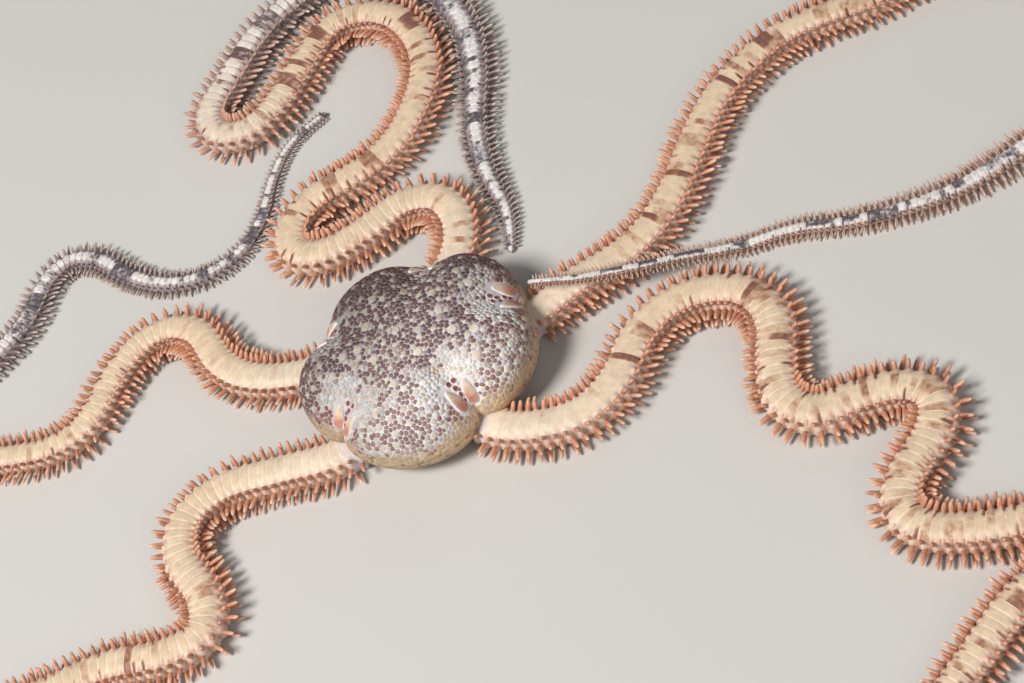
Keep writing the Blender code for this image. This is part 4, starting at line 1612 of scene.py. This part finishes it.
@dataclass
class ArmSkin:
    """One arm's skin of back plates, side plates and belly plates.

    The values at a ring are the course's, with the number of its segment, its phase along that
    segment, how far the arm has paled and how far across the back plates reach. A groove is
    (depth, spread). A start is (where the paint beside the disc ends, where it is full, share).
    """

    form: ArmForm
    disc: DiscForm
    finish: Material
    seed: int
    around: int = 36
    phases: tuple[float, ...] = (0.0, 0.07, 0.2, 0.36, 0.52, 0.68, 0.82, 0.92, 0.975)
    plate_half: float = 0.69
    middle_narrowing: float = 0.09
    narrow_from: Pair = (8.0, 18.0)
    far_narrowing: float = 0.12
    plate_raise: float = 0.011
    far_raise: float = 0.14
    side_raise: float = 0.1
    knob_raise: float = 0.08
    knob_spread: Triple = (0.1, 0.11, 0.2)
    groove: Pair = (0.02, 0.035)
    pale_start: Triple = (7.0, 0.8, 0.42)
    joint_start: Triple = (0.4, 0.1, 0.6)
    cream: Colour = (0.76, 0.59, 0.415)
    ivory: Colour = (0.80, 0.78, 0.77)
    seam: Colour = (0.86, 0.765, 0.66)
    flank: Colour = (0.47, 0.19, 0.105)
    far_flank: Colour = (0.27, 0.205, 0.205)
    ridge: Colour = (0.82, 0.62, 0.49)
    far_ridge: Colour = (0.42, 0.34, 0.34)
    joint: Colour = (0.68, 0.65, 0.72)
    lap_tint: Colour = (0.86, 0.72, 0.6)

    def build(self) -> Object:
        """Make the skin.

        Returns:
            The finished object.
        """
        course = self.form.course
        marks = self.form.marks()
        count = len(marks) - 1
        number = np.repeat(np.arange(count), len(self.phases))
        phase = np.tile(self.phases, count)
        s = marks[number] + phase * np.diff(marks)[number]
        s = np.append(s, course.length)
        number = np.append(number, count - 1)
        phase = np.append(phase, 1.0)
        theta = (np.arange(self.around) + 0.5) * 2.0 * np.pi / self.around
        across, level, rise = self.form.section(theta)
        far = ease(*course.plan.paling, s)
        here = course.at(s) | {"number": number, "phase": phase, "far": far}
        here["reach"] = self._reach(here)
        lift = self._relief(here, across[None], rise[None]) * here["half"][:, None]
        points = self._points(here, across, level, rise, lift)
        faces, around_share = self._faces(len(s))
        paint = self._colours(here, across, rise)
        band = self._bands(here, marks, across, rise)
        values = {"band": band.ravel(), "far": np.repeat(far, self.around)}
        values = {key: np.append(row, [0.0, 0.0]) for key, row in values.items()}
        bake = self._unwrap(s, faces, around_share)
        draft = Draft(points, faces, paint, values, bake)
        LOG.info("%s skin: %d segments, %d points", course.plan.name, count, len(points))
        return draft.build(f"{course.plan.name}_skin", self.finish)

    def _points(self, here: Table, across: Array, level: Array, rise: Array,
                lift: Array) -> Array:
        """Place the skin's points, ring by ring, then one at each end.

        Args:
            here: The values at each ring.
            across: Shares of the half width round a ring.
            level: Shares of the height round a ring.
            rise: Signed shares of the height from the belt.
            lift: How far each point is raised.

        Returns:
            The points.
        """
        half = here["half"][:, None]
        tall = here["tall"][:, None]
        out = np.sign(across) * np.abs(across) ** 1.5 / half
        up = np.sign(rise) * np.abs(rise) ** 1.5 / (0.55 * tall)
        scale = np.hypot(out, up)
        wide = across * half + out / scale * lift
        high = np.maximum(level * tall + up / scale * lift, 0.0)
        left = (here["s"][-1] - here["s"])[:, None] / (1.9 * half)
        blunt = np.sqrt(np.maximum(1.0 - np.maximum(1.0 - left, 0.0) ** 2, 0.04))
        wide = wide * blunt
        high = 0.45 * tall + (high - 0.45 * tall) * blunt
        turn = here["turn"][:, None]
        x = here["x"][:, None] + np.sin(turn) * wide
        y = here["y"][:, None] - np.cos(turn) * wide
        z = here["z"][:, None] + high
        rings = np.stack([x, y, z], axis=-1)
        ends = rings[[0, -1]].mean(axis=1)
        return np.vstack([rings.reshape(-1, 3), ends])

    def _faces(self, rows: int) -> tuple[list[Array], Array]:
        """Join the rings, and close both ends.

        Args:
            rows: Number of rings.

        Returns:
            The faces, and each ring corner's share of the way round.
        """
        i = np.arange(rows - 1)[:, None] * self.around
        j = np.arange(self.around)[None]
        k = (j + 1) % self.around
        quads = np.stack([i + j, i + j + self.around, i + k + self.around, i + k], axis=-1)
        last = (rows - 1) * self.around
        j, k = j[0], k[0]
        ends = rows * self.around
        start_fan = np.stack([j, k, np.full_like(j, ends)], axis=1)
        end_fan = np.stack([last + k, last + j, np.full_like(j, ends + 1)], axis=1)
        share = np.stack([j, j, j + 1, j + 1], axis=-1) / self.around
        return [quads.reshape(-1, 4), np.vstack([start_fan, end_fan])], share

    def _reach(self, here: Table) -> Array:
        """Work out how far across the back plates reach.

        Args:
            here: The values at each ring, apart from this one.

        Returns:
            Shares of the half width.
        """
        phase = here["phase"]
        reach = self.plate_half + 0.07 * phase - 0.1 * ease(0.82, 1.0, phase)
        reach = reach - self.middle_narrowing * ease(*self.narrow_from, here["s"])
        kept = 2.0 * self.form.course.plan.fringe
        return (reach - self.far_narrowing * (1.0 - kept) * here["far"])[:, None]

    def _relief(self, here: Table, across: Array, rise: Array) -> Array:
        """Raise plates, side plates and knobs, and sink grooves.

        Args:
            here: The values at each ring.
            across: Signed shares of the half width.
            rise: Signed shares of the height from the belt.

        Returns:
            The relief as shares of the half width.
        """
        phase, reach = here["phase"][:, None], here["reach"]
        raised = mix(self.plate_raise, self.far_raise, here["far"])
        back = ease(0.04, -0.04, np.abs(across) - reach) * (rise > 0.3)
        belly = ease(-0.75, -0.9, rise) * ease(0.62, 0.54, np.abs(across))
        bowed = phase + 0.1 * across**2
        plate = ease(0.0, 0.26, bowed) * (0.75 + 0.3 * bowed)
        plate = plate * ease(1.0, 0.94, phase)
        crown = 1.0 - 0.25 * across**2
        depth, spread = self.groove
        groove = depth * np.exp(-(((np.abs(across) - reach) / spread) ** 2)) * (rise > 0.3)
        flank = (1.0 - back) * (1.0 - belly)
        ridge = np.exp(-(((phase - 0.58) / 0.26) ** 2)) - 0.35
        relief = back * raised * (plate * crown - 0.6)
        relief = relief + flank * self.side_raise * ridge - groove
        relief = relief + belly * 0.04 * (ease(0.0, 0.3, phase) - 0.6)
        for away in self._from_knobs(phase, np.abs(across), rise):
            relief = relief + self.knob_raise * np.exp(-away)
        return relief

    def _from_knobs(self, phase: Array, size: Array, rise: Array) -> list[Array]:
        """Measure how far each point is from the knob under each row's spines.

        Args:
            phase: Shares of a segment's length.
            size: Shares of the half width.
            rise: Signed shares of the height from the belt.

        Returns:
            The distances, squared, in widths of a knob: one array for each row.
        """
        level = self.form.level(rise)
        wide, tall, long = self.knob_spread
        return [((size - row.across) / wide) ** 2 + ((level - row.level) / tall) ** 2
                + ((phase - row.phase) / long) ** 2 for row in SPINE_ROWS]

    def _colours(self, here: Table, across: Array, rise: Array) -> Array:
        """Paint the back plates, the side plates and the belly.

        Args:
            here: The values at each ring.
            across: Signed shares of the half width.
            rise: Signed shares of the height from the belt.

        Returns:
            The paint of every point, the two end points last.
        """
        s, number, phase, far, reach = (
            here[key] for key in ("s", "number", "phase", "far", "reach")
        )
        rng = default_rng(self.seed)
        tone = rng.normal(1.0, 0.035, (number.max() + 1, 3))
        tone = 0.85 * tone.mean(axis=1, keepdims=True) + 0.15 * tone
        far = far[:, None] * np.ones_like(across)[None]
        phase = phase[:, None]
        size = np.abs(across)[None]
        back = ease(0.03, -0.03, size - reach) * (rise[None] > 0.3)
        belly = ease(-0.6, -0.9, rise)[None] * np.ones_like(phase)
        cream = mix(self.cream, self.ivory, far)
        whole = np.ones_like(size)
        lap = 0.35 * ease(0.3, 0.0, phase) * whole
        cream = mix(cream, np.array(self.cream) * self.lap_tint, lap)
        seam = (ease(0.86, 0.95, phase) + ease(0.06, 0.0, phase)) * whole
        plate = mix(cream, mix(self.seam, self.ivory, far), 0.65 * seam)
        ridge = ease(0.2, 0.55, phase) * ease(1.0, 0.85, phase) * whole
        fade = far * (1.0 - self.form.course.plan.fringe)
        lit = mix(self.ridge, self.far_ridge, fade)
        flank = mix(mix(self.flank, self.far_flank, fade), lit, 0.16 + 0.46 * ridge)
        rim = np.exp(-(((size - reach - 0.05) / 0.05) ** 2)) * (rise[None] > 0.3)
        for away in self._from_knobs(phase, size, rise[None]):
            rim = np.maximum(rim, 0.8 * np.exp(-(((np.sqrt(away) - 1.9) / 0.5) ** 2)))
        flank = mix(flank, mix(self.seam, self.far_ridge, fade), 0.8 * rim)
        paint = mix(mix(flank, plate, back), mix(plate, flank, 0.15 * np.ones_like(belly)), belly)
        paint = paint * tone[number][:, None]
        clear = np.hypot(here["x"], here["y"])
        clear = clear - self.disc.outline(np.degrees(np.arctan2(here["y"], here["x"])))
        for (end, full, force), base_end, colour, where in (
            (self.pale_start, 14.0, self.seam, back),
            (self.joint_start, 9.0, self.joint, 1.0 - belly),
        ):
            start = (ease(end, full, clear) * (s < base_end))[:, None] * whole
            paint = mix(paint, colour, force * start * where)
        paint = np.clip(paint, 0.0, 1.0).reshape(-1, 3)
        return np.vstack([paint, paint[[0, -1]]])

    def _bands(self, here: Table, marks: Array, across: Array, rise: Array) -> Array:
        """Work out how dark the bands are.

        Args:
            here: The values at each ring.
            marks: Lengths at which the segments end.
            across: Signed shares of the half width.
            rise: Signed shares of the height from the belt.

        Returns:
            The darkness of every ring point.
        """
        number, phase = here["number"], here["phase"]
        rng = default_rng(self.seed + 50)
        middles = 0.5 * (marks[1:] + marks[:-1])
        far = ease(*self.form.course.plan.paling, middles)
        sides = np.zeros((2, len(middles)))
        plan = self.form.course.plan
        for side, bands in plan.bands.items():
            for s, force, *other in bands:
                reach = other[0] if other else plan.usual_reach
                inside = np.abs(middles - s) <= max(0.5 * reach, 0.26 * self.form.pitch)
                for hand in {Side.LEFT: (0,), Side.WHOLE: (0, 1), Side.RIGHT: (1,)}[side]:
                    sides[hand, inside] = np.maximum(sides[hand, inside], force)
        i = int(np.searchsorted(middles, plan.unseen[0]))
        while i < len(middles) and middles[i] < plan.unseen[1]:
            i += int(rng.integers(2, 5))
            deep = rng.uniform(0.45, 0.85)
            hands = ((0,), (0, 1), (1,))[int(rng.integers(0, 3))]
            for _ in range(int(rng.integers(1, 3) + 2 * far[min(i, len(far) - 1)])):
                if i < len(middles):
                    sides[list(hands), i] = deep
                    i += 1
        before = np.concatenate([sides[:, :1], sides[:, :-1]], axis=1)
        after = np.concatenate([sides[:, 1:], sides[:, -1:]], axis=1)
        start = ease(0.3, 0.02, phase)
        end = ease(0.92, 1.0, phase)
        sides = (sides[:, number] * (1.0 - start - end)
                 + np.minimum(sides, before)[:, number] * start
                 + np.minimum(sides, after)[:, number] * end)
        centre = rng.uniform(-0.25, 0.25, (len(middles), 1))[number]
        wide = rng.uniform(0.4, 0.8, (len(middles), 1))[number]
        wide = np.maximum(wide, far[number][:, None])
        over = 0.25 + 0.15 * far[number][:, None]
        band = np.maximum(sides[0][:, None] * ease(0.3, -0.3, across[None] - over),
                          sides[1][:, None] * ease(-0.3, 0.3, across[None] + over))
        band = band * (0.55 + 0.45 * ease(0.25, -0.1, np.abs(across[None] - centre) - wide))
        level = ease(-0.2, 0.35, rise)[None] * ease(1.06, 0.9, np.abs(across))[None]
        low = ease(-0.6, 0.0, rise)[None]
        level = level + 0.5 * far[number][:, None] * low
        band = band * np.clip(level, 0.0, 1.0)
        tooth = ease(0.3, 0.08, np.abs(phase - 0.9)) * rng.uniform(0.1, 1.0, len(far))[number]
        edge = ease(0.3, 0.72, np.abs(across)) * (rise > 0.2)
        band = np.maximum(band, 0.95 * (tooth * far[number])[:, None] * edge[None])
        nick = ease(0.34, 0.1, np.abs(phase - 0.88)) * ease(9.0, 20.0, middles)[number]
        depth = np.maximum(rng.uniform(-0.7, 1.0, (2, len(middles))), 0.0)[:, number]
        half = np.where(across[None] < 0.0, depth[0][:, None], depth[1][:, None])
        corner = ease(0.16, 0.5, np.abs(across)) * ease(1.0, 0.8, np.abs(across))
        return np.maximum(band, nick[:, None] * half * corner[None] * (rise > 0.3)[None])

    def _unwrap(self, s: Array, faces: list[Array], share: Array) -> Array:
        """Make the bake map: the arm's length folded into strips.

        Args:
            s: Lengths of the rings along the arm.
            faces: Faces of the skin.
            share: Each ring corner's share of the way round.

        Returns:
            One map place for each corner.
        """
        rings = np.append(np.repeat(s, self.around), [s[0], s[-1]])
        corners = []
        for rows in faces:
            along = rings[rows]
            strip = self.form.strip_of(along.min(axis=1))[:, None] * np.ones(rows.shape[1])
            around = (rows % self.around) / self.around
            if rows.shape[1] == 4:
                around = np.broadcast_to(share, (len(rows) // self.around, *share.shape))
                around = around.reshape(-1, 4)
            corners.append(self.form.bake_place(along, around, strip).reshape(-1, 2))
        return np.vstack(corners)


@dataclass
class SpineCoat:
    """One arm's spines, three rows on each side, joined in one mesh.

    Near, far and fringe each hold the colours of a spine's root, shaft and tip.
    """

    form: ArmForm
    disc: DiscForm
    finish: Material
    seed: int
    sides: int = 8
    root_sunk: float = 0.12
    patch: float = 0.003
    long_from: Pair = (48.0, 62.0)
    longer: float = 0.8
    uneven: float = 5.0
    bend_window: float = 1.2
    bow: float = 0.06
    point: float = 0.12
    lowest: float = 0.02
    near: tuple[Colour, ...] = ((0.40, 0.135, 0.07), (0.60, 0.27, 0.165), (0.83, 0.56, 0.42))
    far: tuple[Colour, ...] = ((0.20, 0.15, 0.145), (0.38, 0.295, 0.275), (0.64, 0.56, 0.52))
    fringe: tuple[Colour, ...] = ((0.40, 0.20, 0.14), (0.61, 0.37, 0.27), (0.82, 0.61, 0.49))
    stations: tuple[Pair, ...] = (
        (0.0, 0.9), (0.2, 1.0), (0.56, 0.95), (0.82, 0.82), (0.95, 0.6), (1.0, 0.3),
    )

    def build(self) -> Object:
        """Make the coat.

        Returns:
            The finished object.
        """
        rng = default_rng(self.seed)
        table = self._roots(rng)
        points, along = self._shapes(table)
        faces = dome_faces(len(table["s"]), len(self.stations), self.sides)
        paint = self._colours(table, along, rng)
        bake = self._unwrap(table, faces, along)
        draft = Draft(points.reshape(-1, 3), faces, paint, {}, bake)
        name = self.form.course.plan.name
        LOG.info("%s spines: %d", name, len(table["s"]))
        return draft.build(f"{name}_spines", self.finish)

    def _roots(self, rng: Generator) -> Table:
        """Find every spine that stands clear of the disc.

        Args:
            rng: Source of random draws.

        Returns:
            Root, heading and size of the spines.
        """
        marks = self.form.marks()
        rows = []
        for row in SPINE_ROWS:
            for hand in (-1.0, 1.0):
                s = marks[:-1] + row.phase * np.diff(marks)
                rows.append(self._row(row, hand, s[1:-1], rng))
        table = {key: np.concatenate([part[key] for part in rows]) for key in rows[0]}
        keep = self._clear(table)
        return {key: values[keep] for key, values in table.items()}

    def _row(self, row: SpineRow, hand: float, s: Array, rng: Generator) -> Table:
        """Set one row's spines on one side.

        Args:
            row: The row.
            hand: The side, -1 for the left and 1 for the right.
            s: Lengths of the roots along the arm.
            rng: Source of random draws.

        Returns:
            Root, heading and size of the spines.
        """
        here = self.form.course.at(s)
        turn, half = here["turn"], here["half"]
        ahead = np.stack([np.cos(turn), np.sin(turn), np.zeros_like(s)], axis=1)
        out = np.stack([np.sin(turn), -np.cos(turn), np.zeros_like(s)], axis=1) * hand
        up = np.array([0.0, 0.0, 1.0])
        root = np.stack([here["x"], here["y"], here["z"] + row.level * here["tall"]], axis=1)
        root = root + out * (row.across * half)[:, None]
        lean = np.radians(row.lean + rng.normal(0.0, self.uneven, len(s)))[:, None]
        rise = np.radians(row.rise + rng.normal(0.0, self.uneven, len(s)))[:, None]
        flat = out * np.cos(lean) + ahead * np.sin(lean)
        heading = flat * np.cos(rise) + up * np.sin(rise)
        wide = np.cross(heading, up)
        wide /= norm(wide, axis=1, keepdims=True)
        thin = np.cross(wide, heading)
        size = np.clip(1.4 * half - 0.04, 0.22, 1.0)
        fringe = self.form.course.plan.fringe * ease(*self.long_from, s)
        size = np.minimum(size * (1.0 + self.longer * fringe), 1.0)
        length = row.length * size * rng.uniform(0.86, 1.08, len(s))
        length = np.minimum(length, self._room(s, hand, half))
        girth = np.minimum(1.0, 0.18 + 0.85 * half)
        around = np.full(len(s), math.atan2(row.level - self.form.belt, hand * row.across))
        return {"s": s, "root": root, "heading": heading, "wide": wide, "thin": thin,
                "length": length, "width": row.width * girth, "thick": row.thickness * girth,
                "around": (around / (2.0 * np.pi)) % 1.0,
                "pale": np.full(len(s), row.paleness)}

    def _room(self, s: Array, hand: float, half: Array) -> Array:
        """Find the longest spine that fits inside a bend.

        Args:
            s: Lengths of the roots along the arm.
            hand: The side, -1 for the left and 1 for the right.
            half: Half widths of the arm.

        Returns:
            One length for each spine.
        """
        window = self.bend_window
        before, after = (self.form.course.at(s + d)["turn"] for d in (-window, window))
        curve = np.maximum(-(after - before) / (2.0 * window) * hand, 0.02)
        return np.maximum(0.4, 0.8 / curve - half)

    def _clear(self, table: Table) -> Array:
        """Shorten spines that would reach into the disc.

        Args:
            table: The spines, which this changes.

        Returns:
            Which spines stay.
        """
        keep = np.ones(len(table["s"]), dtype=bool)
        for share in (1.0, 0.5):
            tip = table["root"] + table["heading"] * (table["length"] * share)[:, None]
            angle = np.degrees(np.arctan2(tip[:, 1], tip[:, 0]))
            inside = np.hypot(tip[:, 0], tip[:, 1]) < self.disc.outline(angle) * 0.985
            inside &= table["s"] < 12.0
            if share == 1.0:
                table["length"] = np.where(inside, table["length"] * 0.6, table["length"])
            else:
                keep &= ~inside
        low = table["root"][:, 2] + table["heading"][:, 2] * table["length"]
        drop = np.maximum(0.1 - low, 0.0)
        table["heading"][:, 2] += drop / table["length"]
        return keep

    def _shapes(self, table: Table) -> tuple[Array, Array]:
        """Shape every spine.

        Args:
            table: The spines.

        Returns:
            Their points, and how far along a spine each lies.
        """
        steps = np.array(self.stations)
        t = steps[:, 0][None, :, None]
        swell = steps[:, 1][None, :, None]
        angle = (np.arange(self.sides) * -2.0 * np.pi / self.sides)[None, None, :]
        length = table["length"][:, None, None]
        run = t * (length + self.root_sunk) - self.root_sunk
        wide = 0.5 * table["width"][:, None, None] * swell * np.cos(angle)
        thin = 0.5 * table["thick"][:, None, None] * swell * np.sin(angle)
        thin = thin + self.bow * length * t**2
        run = np.broadcast_to(run, wide.shape)
        points = (
            table["root"][:, None, None]
            + run[..., None] * table["heading"][:, None, None]
            + wide[..., None] * table["wide"][:, None, None]
            + thin[..., None] * table["thin"][:, None, None]
        )
        points = points.reshape(len(table["s"]), -1, 3)
        top = points[:, -self.sides :].mean(axis=1, keepdims=True)
        top = top + table["heading"][:, None] * self.point * table["width"][:, None, None]
        foot = points[:, : self.sides].mean(axis=1, keepdims=True)
        points = np.concatenate([points, top, foot], axis=1)
        points[..., 2] = np.maximum(points[..., 2], self.lowest)
        along = np.append(np.repeat(steps[:, 0], self.sides), [1.0, 0.0])
        return points, along

    def _colours(self, table: Table, along: Array, rng: Generator) -> Array:
        """Paint every spine: dark root, bright shaft, pale tip.

        Args:
            table: The spines.
            along: How far along a spine each point lies.
            rng: Source of random draws.

        Returns:
            The paint of every point.
        """
        plan = self.form.course.plan
        far = ease(*plan.paling, table["s"])
        t = np.broadcast_to(along[None], (len(far), len(along)))
        away = np.array(self.far) * (1.0 - plan.fringe) + np.array(self.fringe) * plan.fringe
        root, shaft, tip = (mix(*pair, far)[:, None] for pair in zip(self.near, away))
        paint = mix(root, shaft, ease(0.0, 0.35, t))
        pale = rng.uniform(0.7, 1.2, (len(far), 1)) * table["pale"][:, None]
        paint = mix(paint, tip, ease(0.45, 1.0, t) * pale)
        paint = paint * rng.normal(1.0, 0.07, (len(far), 1, 1))
        return np.clip(paint, 0.0, 1.0).reshape(-1, 3)

    def _unwrap(self, table: Table, faces: list[Array], along: Array) -> Array:
        """Make the bake map: a small patch at each spine's root.

        Args:
            table: The spines.
            faces: Faces of the spines.
            along: How far along a spine each point lies.

        Returns:
            One map place for each corner.
        """
        strip = self.form.strip_of(table["s"])
        middle = self.form.bake_place(table["s"], table["around"], strip)
        turn = np.append(np.tile(np.arange(self.sides), len(self.stations)), [0, 0]) / self.sides
        patch = np.stack([turn, along], axis=1) * self.patch - 0.5 * self.patch
        places = (middle[:, None] + patch[None]).reshape(-1, 2)
        return np.vstack([places[rows.ravel()] for rows in faces])


@dataclass(frozen=True)
class Lamp:
    """A square soft lamp that faces the disc: place and side in metres, power in watts."""

    name: str
    place: Triple
    size: float
    power: float
    colour: Colour


@dataclass
class Studio:
    """Plain pale floor, soft lights and the camera at the photograph's angle."""

    floor_size: float = 1.6
    azimuth: float = 31.3
    elevation: float = 50.0
    roll: float = 31.3
    lens: float = 100.0
    sensor: float = 36.0
    image: tuple[int, int] = (1024, 683)
    aim_pixel: Pair = (418.0, 352.0)
    aim: Triple = (0.0, 0.0, 0.003)
    distance: float = 0.147911
    clip: Pair = (0.005, 10.0)
    lamps: tuple[Lamp, ...] = (
        Lamp("key", (-0.12, -0.15, 0.28), 0.1, 1.2, (1.0, 0.97, 0.93)),
        Lamp("fill", (0.22, -0.16, 0.2), 0.2, 0.2, (1.0, 0.99, 0.97)),
        Lamp("rim", (0.05, 0.28, 0.22), 0.2, 0.1, (0.95, 0.97, 1.0)),
    )
    sky: Colour = (0.8, 0.82, 0.85)
    sky_strength: float = 0.1

    def build(self) -> None:
        """Set the floor, the lamps, the sky's light and the camera."""
        self._floor()
        for lamp in self.lamps:
            self._light(lamp)
        world = bpy.data.worlds.new("studio")
        world.use_nodes = True
        background = world.node_tree.nodes["Background"]
        background.inputs["Color"].default_value = (*self.sky, 1.0)
        background.inputs["Strength"].default_value = self.sky_strength
        bpy.context.scene.world = world
        bpy.context.scene.view_settings.view_transform = "Standard"
        self._camera()

    def _floor(self) -> None:
        """Lay the floor just under the arms."""
        mesh = bpy.data.meshes.new("floor")
        half = 0.5 * self.floor_size
        corners = [(-half, -half, 0.0), (half, -half, 0.0), (half, half, 0.0), (-half, half, 0.0)]
        mesh.from_pydata(corners, [], [(0, 1, 2, 3)])
        mesh.materials.append(FloorFinish().material())
        item = bpy.data.objects.new("floor", mesh)
        bpy.context.scene.collection.objects.link(item)

    def _light(self, lamp: Lamp) -> None:
        """Set up a lamp.

        Args:
            lamp: The lamp's place, size, power and colour.
        """
        light = bpy.data.lights.new(lamp.name, "AREA")
        light.shape = "SQUARE"
        light.size = lamp.size
        light.energy = lamp.power
        light.color = lamp.colour
        item = bpy.data.objects.new(lamp.name, light)
        item.location = lamp.place
        item.rotation_euler = Vector(lamp.place).to_track_quat("Z", "Y").to_euler()
        bpy.context.scene.collection.objects.link(item)

    def _camera(self) -> None:
        """Place the camera so that the disc falls on its pixel in the photograph."""
        turn, tilt, roll = (math.radians(v) for v in (self.azimuth, self.elevation, self.roll))
        back = Vector((math.sin(turn) * math.cos(tilt), -math.cos(turn) * math.cos(tilt),
                       math.sin(tilt)))
        level = (-back).cross(Vector((0.0, 0.0, 1.0))).normalized()
        upright = level.cross(-back)
        right = level * math.cos(roll) - upright * math.sin(roll)
        up = level * math.sin(roll) + upright * math.cos(roll)
        pixel = self.sensor / self.image[0] / self.lens
        beam = -back + right * (self.aim_pixel[0] - 0.5 * self.image[0]) * pixel
        beam += up * (0.5 * self.image[1] - self.aim_pixel[1]) * pixel
        place = Vector(self.aim) - beam * self.distance
        lens = bpy.data.cameras.new("camera")
        lens.lens = self.lens
        lens.sensor_width = self.sensor
        lens.clip_start, lens.clip_end = self.clip
        item = bpy.data.objects.new("camera", lens)
        axes = Matrix((right, up, back)).transposed().to_4x4()
        item.matrix_world = Matrix.Translation(place) @ axes
        bpy.context.scene.collection.objects.link(item)
        bpy.context.scene.camera = item


def ride(item: Object, slot: Slot, *nodes: str) -> None:
    """Hang a piece on the body, and hide the nodes that it replaces.

    Args:
        item: The piece.
        slot: Material slot, not used.
        *nodes: Solids that it stands for.
    """
    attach(item, "root")
    if nodes:
        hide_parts(*nodes)


def main() -> None:
    """Build and dress the whole animal and its studio."""
    logging.basicConfig(level=logging.INFO, format="%(name)s: %(message)s")
    disc_form = DiscForm()
    skin, *coat = DiscSkin(disc_form).build()
    ride(skin, Slot.DISC, "disc")
    for piece in coat:
        ride(piece, Slot.DISC)
    plates = ArmFinish().material()
    spines = SpineFinish().material()
    for number, plan in enumerate(ARMS):
        form = ArmForm(Course(plan))
        nodes = sorted(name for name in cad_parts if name.startswith(plan.name))
        cover = ArmSkin(form, disc_form, plates, SKIN_SEED + number)
        ride(cover.build(), Slot.ARM, *nodes)
        ride(SpineCoat(form, disc_form, spines, SPINE_SEED + number).build(), Slot.ARM)
    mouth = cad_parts["mouth_frame"]
    mouth.data.materials.clear()
    mouth.data.materials.append(MouthFinish().material())
    LOG.info("mouth frame dressed")
    Studio().build()


if __name__ == "__main__":
    main()
